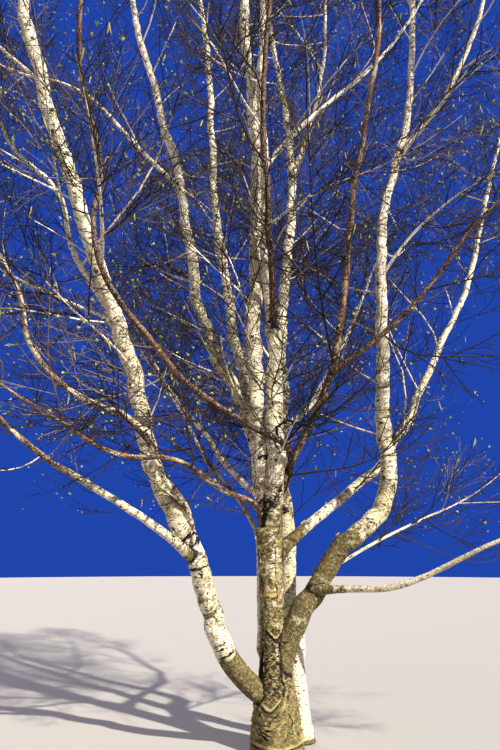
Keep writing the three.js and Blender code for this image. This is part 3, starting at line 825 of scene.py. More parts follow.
# %% [markdown]
# ## Rounded forks
# Where two limbs meet, wood fills the corner. Joining the meshes with a boolean and
# remeshing would lose the rings and their attributes. Instead each limb's points near the
# other limb are pushed out by the amount that a smooth union of the two round shapes
# would add, so both meshes rise to one rounded surface.

# %% Fill the corners between limbs
# How wide the corner is filled, as a part of the girths and at most, and on the trunk's top
BLEND = dict(share=0.4, most=0.024, top=0.06)
# How dark the painted shade in the crease of a fork is, and how wide as a part of the fill
CREASE_PAINTED_SHADE, CREASE_SHADE_WIDTH = 0.7, 0.4
MANY_RINGS = 60


def fill_corner(tube, other, width, dark):
    """Pushes out a tube's points near another tube's surface, and paints shade into the crease"""
    margin = width + other.radius.max()
    low, high = other.line.min(0) - margin, other.line.max(0) + margin
    points = tube.points()
    rows = np.flatnonzero(np.all((points > low) & (points < high), axis=2).any(axis=1))
    between = nearest(tube.line[rows], other.line)[0] if len(rows) else np.array([])
    near = rows[between < tube.radius[rows] + margin]
    if not len(near):
        return 0
    gap, share = nearest(points[near].reshape(-1, 3), other.line)
    gap -= along(other.radius, share)
    push = np.clip(width - np.abs(gap), 0, None) ** 2 / (4 * width)
    tube.extra[near] += push.reshape(len(near), -1)
    tube.scar[near] += dark * hump(gap, width * CREASE_SHADE_WIDTH).reshape(len(near), -1)
    return len(near)


def part_near(tube, point, reach):
    """The stretch of a tube around a point, as a light copy for measuring"""
    rows = np.flatnonzero(np.linalg.norm(tube.line - point, axis=1) < reach)
    rows = rows[::3] if len(rows) > MANY_RINGS else rows
    return Tube(tube.name, tube.line[rows], tube.radius[rows] * 2, 3) if len(rows) > 2 else None


def fill_fork(first, second, wide, on_top):
    """Fills the corner on both of two tubes, and counts the rings that it moves"""
    width = min(BLEND["most"], BLEND["share"] * min(first.radius[0], second.radius.max()))
    width, dark = (BLEND["top"], 0) if on_top else (width, CREASE_PAINTED_SHADE)
    moved = 0
    for tube, partner in ((first, second), (second, first)):
        near = part_near(partner, first.line[0], 0.9 if wide else 0.35)
        moved += fill_corner(tube, near, width, dark) if near else 0
    return moved


crown = [name for name, limb in LIMBS.items() if limb["at"] == FORK_AT]
pairs = [(name, limb["on"]) for name, limb in LIMBS.items() if limb["on"] in all_tubes]
pairs += [(a, b) for a in crown for b in crown if a < b and LIMBS[a]["on"] == LIMBS[b]["on"]]
pairs += [("stem_rear", "trunk"), ("stem_right", "bough_white_right")]
pushed = 0
for name, other in pairs:
    by_fork, by_trunk = name in crown, other == "trunk"
    pushed += fill_fork(all_tubes[name], all_tubes[other], by_fork or by_trunk, by_fork and by_trunk)
print("rings pushed", pushed)

# %% [markdown]
# ## The bark's age and colour zones
# Young birch wood is red-brown. As a limb thickens its skin turns to white paper, and at
# the old foot the paper breaks up into rough gray-brown bark. So each limb has a length
# of old bark at its foot and a whiteness, and both fade along it. They are kept as
# numbers between 0 and 1, and the material mixes its colours by them.

# %% Zones of old, white and young bark
# How far the old bark reaches along a limb, and how softly it ends
OLD_BARK = {
    "stem_left": (0.6, 0.08), "stem_right": (1.7, 0.5), "stem_middle": (0.4, 0.8),
    "stem_front": (0.4, 0.8), "stem_mid_left": (0.5, 0.7), "stem_rear_left": (0.4, 0.5),
    "bough_left_thin": (0.2, 0.3), "bough_white_right": (0.55, 0.4),
    "bough_right_low": (0.34, 0.4), "bough_left_low": (0.16, 0.16),
}
NO_OLD_BARK = (0.03, 0.03)
OLDEST = 0.88
# A worn patch: how far along, how long and how old
WORN = {"stem_left": (1.0, 0.24, 0.66)}
# How white the brown limbs and the duller white ones are
YOUNG = {
    "stem_brown": 0.02, "bough_hook": 0.05, "bough_brown_right": 0.12, "bough_front_left": 0.2,
    "bough_left_thin": 0.5, "bough_left_inner": 0.45, "bough_arching_right": 0.1,
}
PALE_BOUGHS = {"bough_left_low": 0.85, "bough_right_low": 0.8, "bough_back_high": 0.75}
PAPER = 0.97
# Between which heights the hugging bough turns young, and how white it is below
HUGGING_HEIGHTS, HUGGING_WHITE = (1.6, 2.1), 0.9
# Between which places along a limb it turns brown, and how white it is past them
BROWNING = {"bough_left_low": ((0.8, 1.5), 0.3)}
# Heights, and how mottled the white bark is at each
MOTTLE = {"stem_rear": ((0.8, 2.2, 5.5), (0.5, 1, 0.25))}
USUAL_MOTTLE = ((1.6, 2.8, 4.6), (1, 0.6, 0.15))
FOOT_CALM = 0.45


def age_of(name, far):
    """How old the bark is along a limb"""
    reach, fade = OLD_BARK.get(name, NO_OLD_BARK)
    age = np.clip((reach - far) / fade + 0.5, 0, 1) * OLDEST
    if name in WORN:
        middle, length, worn = WORN[name]
        age = np.maximum(age, worn * hump(far - middle, length))
    return age


def whiteness_of(name, tube, thin=0.016, over=0.011, browns=0.5):
    """How white the bark is along a limb, browner on thin wood"""
    white = np.full(len(tube.line), YOUNG.get(name, PALE_BOUGHS.get(name, PAPER)))
    if name == HUGGING:
        white = np.interp(tube.line[:, 2], HUGGING_HEIGHTS, (HUGGING_WHITE, YOUNG[name]))
    if name in BROWNING:
        ends, brown = BROWNING[name]
        white = np.interp(tube.far, ends, (white[0], brown))
    return white * (1 - browns * falling(tube.radius, thin, over))


def zones(name, tube):
    """Old bark, whiteness and mottling at each ring"""
    age = age_of(name, tube.far)
    mottle = np.interp(tube.line[:, 2], *MOTTLE.get(name, USUAL_MOTTLE))
    calm = 1 - FOOT_CALM * age / OLDEST
    return dict(age=age, white=whiteness_of(name, tube), mottle=mottle * calm)


values = {name: zones(name, tube) for name, tube in tubes.items()}
print("mean whiteness", round(float(np.mean([found["white"].mean() for found in values.values()])), 3))

# %% The trunk's zones
# Heights, and how old and how mottled the bark is at each
TRUNK_AGE = ((0, 0.6, 1.0, 1.3, 1.6, 1.75), (1, 0.95, 0.84, 0.76, 0.7, 0.68))
TRUNK_MOTTLE = ((0.26, 0.4), (0.5, 1))
TRUNK_WHITE = 0.92
# The way that a pale column faces, how much younger it is, and its two patches
COLUMN_WAY, COLUMN_YOUNGER = 303, 0.4
COLUMN_PATCHES = ((0.75, 0.1), (1.38, 0.13))

rightward = np.clip(np.cos(angle - math.radians(COLUMN_WAY)), 0, 1) ** 5
patches = sum(hump(height - level, width) for level, width in COLUMN_PATCHES)
values["trunk"] = dict(
    age=np.interp(height, *TRUNK_AGE) - COLUMN_YOUNGER * rightward * patches,
    white=np.full(len(trunk.line), TRUNK_WHITE),
    mottle=np.interp(trunk.far, *TRUNK_MOTTLE))
print("trunk's mean age", round(float(values["trunk"]["age"].mean()), 3))


# %% Turn the tubes into meshes
def tube_faces(rings, sides):
    """Quads between the rings, and a fan of triangles at each end"""
    j = np.arange(sides)
    k = (j + 1) % sides
    start = np.arange(rings - 1)[:, None] * sides
    quads = np.stack([start + j, start + k, start + sides + k, start + sides + j], -1)
    foot, last = np.full(sides, rings * sides), (rings - 1) * sides
    fans = np.vstack([np.stack([foot, k, j], 1), np.stack([foot + 1, last + j, last + k], 1)])
    return quads.reshape(-1, 4).tolist() + fans.tolist()


def mesh_from(name, points, faces=(), edges=()):
    """A mesh from an array of points and lists of corners"""
    mesh = bpy.data.meshes.new(name)
    mesh.from_pydata(np.asarray(points).tolist(), edges, faces)
    return mesh


def add_values(mesh, name, kind, values):
    attribute = mesh.attributes.new(name, kind, "POINT")
    attribute.data.foreach_set("vector" if kind == "FLOAT_VECTOR" else "value", values.ravel())


def mesh_of(tube, name, values):
    """The tube as one closed mesh with its attributes"""
    rings, sides = len(tube.line), tube.sides
    ends = np.array([tube.line[0], tube.line[-1] + tube.ahead[-1] * tube.radius[-1]])
    points = np.vstack([tube.points().reshape(-1, 3), ends])
    mesh = mesh_from(name, points, tube_faces(rings, sides))
    mesh.shade_smooth()
    straight = np.vstack([tube.straight().reshape(-1, 3), [[0, 0, 0], [0, 0, tube.far[-1]]]])
    add_values(mesh, "straight", "FLOAT_VECTOR", straight)
    # The dark values carry real scars and painted shade, and the crests a painted highlight
    for label, found in (("scar", tube.scar), ("crest", tube.crest)):
        add_values(mesh, label, "FLOAT", np.append(np.clip(found, 0, 1), [0, 0]))
    for label, found in values.items():
        spread = np.broadcast_to(found.reshape(rings, -1), (rings, sides)).ravel()
        add_values(mesh, label, "FLOAT", np.append(spread, [spread[0], spread[-1]]))
    return placed(name, mesh)


bark_pieces = {}
for name, tube in (*tubes.items(), ("trunk", trunk)):
    bark_pieces[name] = mesh_of(tube, name + "_bark", values[name])
print("bark triangles", sum(len(piece.data.polygons) * 2 for piece in bark_pieces.values()))

# %% [markdown]
# ## Peeling paper
# Birch bark peels in thin curls that start at a tear and roll back round the stem. A cloth
# could be simulated for each, but a strip bent along an arc and given a thickness looks
# the same from a step away, and a loop can lay a hundred of them where the paper is old.

# %% Curls of bark
# Lowest, highest, and how many
CURLS = {
    "trunk": (0.45, 1.7, 20), "stem_left": (0.38, 2.6, 20), "stem_right": (0.5, 3.2, 18),
    "stem_middle": (0.2, 2.4, 12), "stem_front": (0.2, 1.8, 12), "stem_rear": (0.3, 3.0, 12),
    "stem_mid_left": (0.4, 2.6, 8), "bough_white_right": (0.3, 2.2, 6),
}
# Least, and how much more at most, of the width, the height and the bend
CURL_SIZES = ((0.01, 0.018), (0.012, 0.045), (1.2, 1.8))
CURL_STEPS = 5
CURL_THICK = 0.0012


def curl_section(width, bend):
    """A strip seen from its end, inner side then outer: places round the stem and off it"""
    turn = bend * np.linspace(0, 1, CURL_STEPS)
    middle = np.stack([np.sin(turn), 1 - np.cos(turn)], 1) * width / bend
    away = np.stack([-np.sin(turn), np.cos(turn)], 1) * CURL_THICK / 2
    return np.vstack([middle - away, (middle + away)[::-1]])


def curl_faces(count):
    """The faces of a strip with a count of corners in its section"""
    faces = [(k, count + k, count + (k + 1) % count, (k + 1) % count) for k in range(count)]
    caps = [(k, k + 1, count - 2 - k, count - 1 - k) for k in range(CURL_STEPS - 1)]
    return faces + caps + [tuple(count + k for k in reversed(cap)) for cap in caps]


def curl_points(tube, far, around, width, height, bend):
    """One curl's points, rooted just under the bark"""
    i = int(np.argmin(np.abs(tube.far - far)))
    j = int(round((around % (2 * math.pi)) / (2 * math.pi) * tube.sides)) % tube.sides
    out = tube.out()[i, j]
    level = np.cross(tube.ahead[i], out)
    root = tube.points()[i, j] - out * CURL_THICK
    ends = [root + tube.ahead[i] * side * height / 2 for side in (-1, 1)]
    return [end + level * a + out * b for end in ends for a, b in curl_section(width, bend)]


def joined(parts):
    """Many shapes' points and faces as one shape's"""
    points, faces = [], []
    for own_points, own_faces in parts:
        faces += [tuple(len(points) + k for k in face) for face in own_faces]
        points += own_points
    return points, faces


rng = np.random.default_rng(91)
curls = []
for name, (low, high, count) in CURLS.items():
    for _ in range(count):
        up, turn, *draws = rng.uniform(0, 1, 5)
        draws[1] **= 2
        sizes = [least + more * draw for (least, more), draw in zip(CURL_SIZES, draws)]
        points = curl_points(all_tubes[name], low + (high - low) * up, 2 * math.pi * turn, *sizes)
        curls.append((points, curl_faces(2 * CURL_STEPS)))
bark_curls = placed("bark_curls", mesh_from("bark curls", *joined(curls)))
print("bark curls", len(curls), "faces", len(bark_curls.data.polygons))

# %% [markdown]
# ## The masses' twigs, by the source's rule
# Each mass is a leader with twigs turned on round it. A small repeatable generator draws
# all of a twig's numbers before the twig is tried, so the same twigs appear here as in the
# solids. A twig that would leave its mass's own space or touch a limb is tried shorter,
# and then left out. These main twigs are the scaffold for the finer ones.

# %% Fit a twig into its mass's space
KNEE_AT = 0.45
LIFT = 0.32
TRIES = (1, 0.7, 0.45)
LEAST_HEIGHT = 0.9
SPACE_MARGIN = 0.03
LIMB_MARGIN = 0.012
SAMPLES = np.array([0.3, 0.6, 0.8, 1])


def seeded(seed):
    """Repeatable random numbers between 0 and 1"""
    state = seed
    while True:
        state = state * 16807 % 2147483647
        yield state / 2147483647


def clear_of_limbs(points, margin):
    """Whether each point lies outside every limb, with a margin"""
    clear = np.ones(len(points), bool)
    for name, line in lines.items():
        gap, share = nearest(points, line)
        clear &= gap >= girth_at(name, share) / 2 + margin
    return clear


def in_own_space(points, mass):
    """Whether points lie nearest to their own mass and clear of limbs and ground"""
    if points[:, 2].min() < LEAST_HEIGHT:
        return False
    own = nearest(points, mass["line"])[0] + SPACE_MARGIN
    for other in masses.values():
        if other is not mass and (nearest(points, other["line"])[0] < own).any():
            return False
    return bool(clear_of_limbs(points, LIMB_MARGIN).all())


def leaning(ahead, side, across, lean, turn):
    """A way that leans out from the way ahead, turned round it, both in degrees"""
    out, way_round = math.radians(lean), math.radians(turn)
    sideways = side * math.cos(way_round) + across * math.sin(way_round)
    return unit(ahead * math.cos(out) + sideways * math.sin(out))


def twig_points(root, way, length):
    """A twig's root, knee and tip: past the knee it turns up towards the light"""
    outer = unit(way + np.array([0, 0, LIFT]))
    knee = root + way * length * KNEE_AT
    return np.array([root, knee, knee + outer * length * (1 - KNEE_AT)])


def fit_twig(root, way, length, mass, drop):
    """The longest try at a twig that fits, with room for a drop below its tip, or none"""
    for share in TRIES:
        points = twig_points(root, way, length * share)
        samples = point_at(points, SAMPLES)
        samples = np.vstack([samples, samples[-1] - (0, 0, drop)])
        if in_own_space(samples, mass):
            return points
    return None


print("tries at each twig", TRIES)

# %% Grow the main twigs
RULED_COUNT, EXTRA_COUNT = 6, 14
EXTRA_SCALE, EXTRA_SEEDS = 0.85, 400
GOLDEN_TURN = 137.5
CATKIN_LENGTH, CATKIN_EVERY = 0.095, 4
NO_FORK_EVERY = 6


def spread(middle, width, draw):
    return middle + width * (draw - 0.5)


def main_twig(mass, i, count, scale, draws, hangs, first=0.16, last=0.93, lean=44, leans=16,
              turns=30, least=0.24, part=0.46, reaches=0.3, of_stem=0.6, thickest=0.015):
    """One twig of a mass's leader and how thick it is, or none where it doesn't fit"""
    share = first + (last - first) * (i + draws[0]) / count
    ring = int(share * MASS_STEPS + 0.5)
    turn = spread(i * GOLDEN_TURN, turns, draws[2])
    length = (least + mass["length"] * part * (1.1 - share)) * spread(1, reaches, draws[3]) * scale
    way = leaning(*(axis[ring] for axis in mass["frames"]), spread(lean, leans, draws[1]), turn)
    points = fit_twig(point_at(mass["line"], share), way, length, mass, CATKIN_LENGTH * hangs)
    thick = min(thickest, of_stem * tapered(mass["girth"], MASS_TIP_GIRTH, share))
    return points, thick * (0.6 + 0.4 * scale)


def fork_of(points, draw, mass, at=0.42, part=0.5, lean=42):
    """A fork of a twig, or none where it doesn't fit"""
    way = leaning(*(axis[0] for axis in frames_of(points)), lean, 360 * draw)
    length = np.linalg.norm(points[2] - points[0]) * part
    return fit_twig(point_at(points, at), way, length, mass, 0)


def main_twigs(mass, seed, count, scale, may_hang, left_at_fork=0.58, fork_part=0.55):
    """Twigs round a mass's leader, with their girths and whether a catkin hangs there"""
    random = seeded(seed)
    grown = []
    for i in range(count):
        *draws, fork_draw = (next(random) for _ in range(5))
        hangs = may_hang and i % CATKIN_EVERY == 1
        points, thick = main_twig(mass, i, count, scale, draws, hangs)
        if points is None:
            continue
        grown.append(dict(points=points, girth=thick, hangs=hangs))
        forks = i % NO_FORK_EVERY != NO_FORK_EVERY - 1
        fork = fork_of(points, fork_draw, mass) if forks else None
        if fork is not None:
            grown.append(dict(points=fork, girth=thick * left_at_fork * fork_part, hangs=False))
    return grown


ruled_count = 0
for mass in masses.values():
    mass["frames"] = frames_of(mass["line"])
    mass["twigs"] = main_twigs(mass, mass["seed"], RULED_COUNT, 1, True)
    ruled_count += len(mass["twigs"])
    mass["twigs"] += main_twigs(mass, mass["seed"] + EXTRA_SEEDS, EXTRA_COUNT, EXTRA_SCALE, False)
print("main twigs", sum(len(mass["twigs"]) for mass in masses.values()),
      "by the solids' own draws", ruled_count)

# %% [markdown]
# ## Twigs along the limbs
# Between its boughs a birch also carries small twigs straight on its limbs, many of them
# from old knots. They leave the limb at a knot, turn up towards the light and stay clear
# of the other limbs.

# %% Grow twigs from the knots
FIRST_KNOT, LAST_KNOT = 0.3, 0.85
KNOT_SPACING = 0.1
KNOT_TWIG = dict(least=0.3, most=1.25, girth=0.005, thicker=0.0055)
LONG_TWIG = dict(least=1.0, most=2.3, girth=0.008, thicker=0.0085)
LONG_EVERY = 5
REACH_SLACK = 0.02


def inside_reach(points, low=1.5, front=-0.4, rise=0.42):
    """Whether points lie in the crown's box, and in front of the trunk above a rising skirt"""
    in_box = np.all((points > LOW - REACH_SLACK) & (points < HIGH + REACH_SLACK), axis=-1)
    return in_box & (points[..., 2] > low + rise * np.maximum(front - points[..., 1], 0))


def knot_twig(tube, station, k, draws, bare_below=1.65, bare_more=0.7, behind=-1.0, pale_part=0.85,
              lean=36, lean_more=34, turn_more=70, short=1.4, of_limb=1.2):
    """A twig from a knot, shorter where the full one would touch or leave, or none"""
    ring = int(np.argmin(np.abs(tube.far - station - KNOT_SPACING * draws[0])))
    root = tube.line[ring]
    if root[2] < bare_below + bare_more * draws[1]:
        return None
    long = k % LONG_EVERY == 2 and root[1] > behind
    kind = LONG_TWIG if long else KNOT_TWIG
    pale = long and tube.name not in YOUNG and draws[0] < pale_part
    way = leaning(tube.ahead[ring], tube.side[ring], tube.across[ring],
                  lean + lean_more * draws[2], GOLDEN_TURN * k + turn_more * draws[3])
    full = tapered(kind["least"], kind["most"], draws[4] ** short)
    for length in (full * share for share in TRIES):
        points = twig_points(root, way, length)
        samples = point_at(points, np.linspace(0.2, 1, 7))
        if clear_of_limbs(samples[1:], LIMB_MARGIN).all() and inside_reach(samples).all():
            girth = min(kind["girth"] + kind["thicker"] * length, of_limb * tube.radius[ring])
            return dict(points=points, girth=girth, pale=pale, on=tube.name)
    return None


limb_twigs = []
rng = np.random.default_rng(7)
for tube in tubes.values():
    stations = np.arange(FIRST_KNOT, tube.far[-1] * LAST_KNOT, KNOT_SPACING)
    for k, station in enumerate(stations):
        limb_twigs.append(knot_twig(tube, station, k, rng.uniform(0, 1, 5)))
limb_twigs = [twig for twig in limb_twigs if twig]
print("twigs on the limbs", len(limb_twigs))

# %% [markdown]
# ## Finer twigs
# A twig carries smaller ones on alternate sides, and those carry the finest. Growing
# them one by one would be slow, so each order is grown for all twigs at once as arrays:
# every twig of an order has the same number of points, and each child starts on its
# parent's line. A child that would leave the crown's reach is dropped, and so is one that
# crowds its part of the crown, so that the sky shows evenly.

# %% Bundle the main twigs as arrays
FINEST_GIRTH = 0.0026
MAIN_POINTS = 9
MAIN_TIP = 0.26
# How many waves a main twig wanders in, and how far as a part of its length
WANDER = ((1, 0.03), (2, 0.02), (3, 0.012))


def softened(points, count):
    """A smooth bend through a twig's root, knee and tip"""
    root, knee, tip = points
    t = KNEE_AT
    pull = (knee - root * (1 - t) ** 2 - tip * t ** 2) / (2 * t * (1 - t))
    share = np.linspace(0, 1, count)[:, None]
    return root * (1 - share) ** 2 + 2 * pull * share * (1 - share) + tip * share ** 2


def bundle(twigs, count, rng):
    """Main twigs as arrays, with a slight wander off their lines"""
    points = np.array([softened(twig["points"], count) if len(twig["points"]) == 3
                       else twig["points"] for twig in twigs])
    length = np.linalg.norm(points[:, -1] - points[:, 0], axis=1)[:, None, None]
    share = np.linspace(0, math.pi, count)[None, :, None]
    wander = np.zeros_like(points)
    for waves, amount in WANDER:
        wander += rng.normal(0, amount, (len(points), 1, 3)) * length * np.sin(waves * share)
    girth = np.array([twig["girth"] for twig in twigs])
    tip = np.maximum(girth * MAIN_TIP, FINEST_GIRTH)
    return dict(points=points + wander, girth=girth, tip=tip, spray=np.arange(len(twigs)))


print("points of a main twig", MAIN_POINTS)

# %% Branch an order of finer twigs
ORDERS = (
    dict(points=4, spacing=0.085, most=15, lean=42, reach=0.52, least=0.1, longest=0.7,
         thin=0.78, in_cell=11),
    dict(points=2, spacing=0.075, most=6, lean=42, reach=0.42, least=0.05, longest=0.24,
         thin=0.72, in_cell=28),
)


def leaning_all(ahead, turn, lean):
    """Ways that lean out from many ways ahead at once, in radians"""
    side = unit(np.cross(ahead, (0, 0, 1)) + 1e-4)
    across = np.cross(side, ahead)
    sideways = side * np.cos(turn)[:, None] + across * np.sin(turn)[:, None]
    return unit(ahead * np.cos(lean)[:, None] + sideways * np.sin(lean)[:, None])


def bent_path(root, way, reach, steps, rng, up=0.1, bends=(0.08, 0.08, 0.13)):
    """Points from each root along its way, which bends a little at each step"""
    points = [root]
    for bend in rng.normal((0, 0, up), bends, (steps, len(root), 3)):
        points.append(points[-1] + way * (reach / steps)[:, None])
        way = unit(way + bend)
    return np.stack(points, 1)


def branch(parents, order, rng, first=0.2, over=0.76, turns=0.9, leans=12, past_tip=1.15,
           reaches=(0.6, 1.45), thick_part=1.2, tip_part=0.5, margin=0.004):
    """The next order of twigs on every parent"""
    steps = np.diff(parents["points"], axis=1)
    length = np.linalg.norm(steps, axis=2).sum(1)
    count = np.clip((length / order["spacing"]).astype(int), 0, order["most"])
    owner = np.repeat(np.arange(len(count)), count)
    rank = np.arange(len(owner)) - np.repeat(np.cumsum(count) - count, count)
    share = first + over * (rank + rng.uniform(0.15, 0.85, len(owner))) / count[owner]
    place = share * steps.shape[1]
    below = np.minimum(place.astype(int), steps.shape[1] - 1)
    root = parents["points"][owner, below] + steps[owner, below] * (place - below)[:, None]
    turn = np.pi * rank + rng.uniform(-turns, turns, len(owner))
    lean = np.radians(order["lean"] + rng.uniform(-leans, leans, len(owner)))
    way = leaning_all(unit(steps[owner, below]), turn, lean)
    reach = length[owner] * order["reach"] * (past_tip - share) * rng.uniform(*reaches, len(owner))
    reach = np.clip(reach, order["least"], order["longest"])
    points = bent_path(root, way, reach, order["points"] - 1, rng)
    thick = parents["girth"][owner] * (1 - share) + parents["tip"][owner] * share
    thick = np.maximum(thick * order["thin"], FINEST_GIRTH * thick_part)
    made = dict(points=points, girth=thick, tip=np.maximum(thick * tip_part, FINEST_GIRTH),
                spray=parents["spray"][owner])
    keep = inside_reach(points[:, -1]) & clear_of_limbs(points[:, -1], margin)
    return {key: values[keep] for key, values in made.items()}


print("orders past the main twigs", len(ORDERS))

# %% Grow each region's orders
CELL = 0.3
REGIONS = {
    "left": ("left", "left_low", "left_inner", "left_high", "left_mid", "left_top", "front_left"),
    "middle": ("middle", "mid_left", "rear_left", "left_thin", "outer_left", "hook"),
    "front": ("front", "front_white", "brown", "brown_right", "arching_right", "hook_side",
              "mid_low"),
    "right": ("right", "white_right", "right_low", "outer_right", "right_high", "right_thin",
              "right_mid"),
    "back": ("rear", "rear_right", "back_left", "back_right", "back_high", "back_mid",
             "back_side"),
}
KINDS = ("thin_bough_", "stem_", "bough_", "twigs_")
# The twig that curls back over the front of the hooked bough
HOOK_TWIG = dict(on="bough_hook", at=0.18, length=0.84, girth=0.03, heading=(-10,),
                 rise=(126, 75, 0, -25, 5, 10, 60, 90, 105))
FIRST_REGION_SEED = 100


def thinned(layer, most, rng):
    """The twigs without those that crowd a cell of the crown"""
    cells = np.floor(layer["points"][:, -1] / CELL).astype(int)
    shuffled = rng.permutation(len(cells))
    _, cell = np.unique(cells[shuffled], axis=0, return_inverse=True)
    cell = cell.ravel()
    order = np.argsort(cell, kind="stable")
    first = np.searchsorted(cell[order], cell[order])
    keep = np.zeros(len(cells), bool)
    keep[shuffled[order]] = np.arange(len(cells)) - first < most
    return {key: values[keep] for key, values in layer.items()}


def grow_orders(twigs, seed):
    """A main twig's bundle and its finer orders, with the main twig that each belongs to"""
    rng = np.random.default_rng(seed)
    layers = [bundle(twigs, MAIN_POINTS, rng)]
    for order in ORDERS:
        layers.append(thinned(branch(layers[-1], order, rng), order["in_cell"], rng))
    return layers


def region_of(name):
    """The part of the crown that a limb or a mass belongs to"""
    label = next(name.removeprefix(kind) for kind in KINDS if name.startswith(kind))
    return next(region for region, labels in REGIONS.items() if label in labels)


sprays = {region: [] for region in REGIONS}
for name, mass in masses.items():
    sprays[region_of(name)] += mass["twigs"]
for twig in limb_twigs:
    sprays[region_of(twig["on"])].append(twig)
hook = walk(point_at(lines[HOOK_TWIG["on"]], HOOK_TWIG["at"]), HOOK_TWIG, MAIN_POINTS - 1)
sprays["front"].append(dict(points=hook, girth=HOOK_TWIG["girth"]))
layers = {}
for i, (region, twigs) in enumerate(sprays.items()):
    layers[region] = grow_orders(twigs, FIRST_REGION_SEED + i)
print({region: [len(layer["girth"]) for layer in found] for region, found in layers.items()})

# %% [markdown]
# ## Sweeping the twigs
# Every twig is only a chain of points so far. A node tree turns the chains into curves,
# gives each point its own radius and sweeps a three-sided ring along them, which is round
# enough for something thinner than a pencil. The tree paints the sprays in plain colours
# of young birch wood, from nearly black to tan, by a number dealt to each spray.

# %% Helpers for node trees
def add_node(tree, kind, inputs=None, **settings):
    """A node with its settings. An input that is a socket is linked, and any other is set."""
    node = tree.nodes.new(kind)
    for key, value in settings.items():
        setattr(node, key, value)
    for key, value in (inputs or {}).items():
        if isinstance(value, bpy.types.NodeSocket):
            tree.links.new(value, node.inputs[key])
        else:
            node.inputs[key].default_value = value
    return node


def start_tree(name, inputs):
    """A geometry tree with named inputs, and its input and output nodes"""
    tree = bpy.data.node_groups.new(name, "GeometryNodeTree")
    for label, kind in {"Geometry": "Geometry", **inputs}.items():
        tree.interface.new_socket(label, in_out="INPUT", socket_type="NodeSocket" + kind)
    tree.interface.new_socket("Geometry", in_out="OUTPUT", socket_type="NodeSocketGeometry")
    return tree, tree.nodes.new("NodeGroupInput").outputs, tree.nodes.new("NodeGroupOutput")


def named(tree, label, kind):
    """The attribute with a name, as a socket"""
    return add_node(tree, "GeometryNodeInputNamedAttribute", {"Name": label}, data_type=kind).outputs[0]


def grown_by(source, tree, values, name):
    """What a tree makes of an object, as a plain mesh object with no modifier"""
    modifier = source.modifiers.new(tree.name, "NODES")
    modifier.node_group = tree
    for item in tree.interface.items_tree:
        if item.in_out == "INPUT" and item.name in values:
            modifier[item.identifier] = values[item.name]
    graph = bpy.context.evaluated_depsgraph_get()
    mesh = bpy.data.meshes.new_from_object(source.evaluated_get(graph))
    bpy.data.objects.remove(source)
    return placed(name, mesh)


def plain_material(name, colour, roughness):
    material = bpy.data.materials.new(name)
    material.use_nodes = True
    shader = material.node_tree.nodes["Principled BSDF"]
    shader.inputs["Base Color"].default_value = (*colour, 1)
    shader.inputs["Roughness"].default_value = roughness
    return material


# %% Build the sweeping tree
TWIG_COLOURS = {
    "Dark": (0.01, 0.007, 0.006), "Russet": (0.045, 0.024, 0.016),
    "Tan": (0.2, 0.15, 0.09), "Pale": (0.68, 0.6, 0.46),
}
TWIG_ROUGHNESS = 0.72


def painted_by_tone(tree, geometry, given):
    """The geometry with the material that each point's tone stands for"""
    tone = named(tree, "tone", "INT")
    for i, key in enumerate(TWIG_COLOURS):
        chosen = add_node(tree, "FunctionNodeCompare", {2: tone, 3: i}, data_type="INT", operation="EQUAL")
        inputs = {"Geometry": geometry, "Selection": chosen.outputs[0], "Material": given[key]}
        geometry = add_node(tree, "GeometryNodeSetMaterial", inputs).outputs[0]
    return geometry


def twig_tree():
    """Sweeps a ring along every chain of points"""
    inputs = {"Sides": "Int", **{key: "Material" for key in TWIG_COLOURS}}
    tree, given, result = start_tree("sweep twigs", inputs)
    curves = add_node(tree, "GeometryNodeMeshToCurve", {"Mesh": given["Geometry"]})
    ring = add_node(tree, "GeometryNodeCurvePrimitiveCircle", {"Resolution": given["Sides"], "Radius": 1.0})
    tube = add_node(tree, "GeometryNodeCurveToMesh", {
        "Curve": curves.outputs[0], "Profile Curve": ring.outputs[0],
        "Scale": named(tree, "half girth", "FLOAT"), "Fill Caps": True})
    real = add_node(tree, "GeometryNodeRealizeInstances", {"Geometry": tube.outputs[0]})
    tree.links.new(painted_by_tone(tree, real.outputs[0], given), result.inputs[0])
    return tree


sweep_twigs = twig_tree()
twig_paints = {key: plain_material("twig_" + key.lower(), colour, TWIG_ROUGHNESS)
               for key, colour in TWIG_COLOURS.items()}
print("sweeping tree", len(sweep_twigs.nodes), "nodes")

# %% Sweep each region's twigs
TWIG_SIDES = 3
# Draws below the first are dark, below the second russet, and the others tan
TWIG_SHARES = (0.6, 0.87)
PALE_TONE = list(TWIG_COLOURS).index("Pale")
PALE_TO = 0.6
FIRST_TONE_SEED = 300


def layer_tones(layer, tones, pale, share):
    """Each point's tone. A pale twig is pale up to a share of its length."""
    own = np.repeat(tones[layer["spray"]][:, None], share.shape[1], 1)
    return own if pale is None else np.where(pale[:, None] & (share < PALE_TO), PALE_TONE, own)


def chains(region_layers, tones, pale):
    """All twigs of a region as one mesh of loose edges, with half girths and tones"""
    points, radii, tone, edges, start = [], [], [], [], 0
    for layer in region_layers:
        count, steps = layer["points"].shape[:2]
        share = np.linspace(0, 1, steps)[None, :]
        girth = layer["girth"][:, None] * (1 - share) + layer["tip"][:, None] * share
        first = start + np.arange(count)[:, None] * steps + np.arange(steps - 1)[None, :]
        points.append(layer["points"].reshape(-1, 3))
        radii.append(girth.ravel() / 2)
        tone.append(layer_tones(layer, tones, None if start else pale, share).ravel())
        edges.append(np.stack([first, first + 1], -1).reshape(-1, 2))
        start += count * steps
    mesh = mesh_from("chains", np.vstack(points), edges=np.vstack(edges).tolist())
    add_values(mesh, "half girth", "FLOAT", np.concatenate(radii))
    add_values(mesh, "tone", "INT", np.concatenate(tone).astype(np.int32))
    return placed("chains", mesh)


def triangles_of(piece):
    return sum(len(face.vertices) - 2 for face in piece.data.polygons)


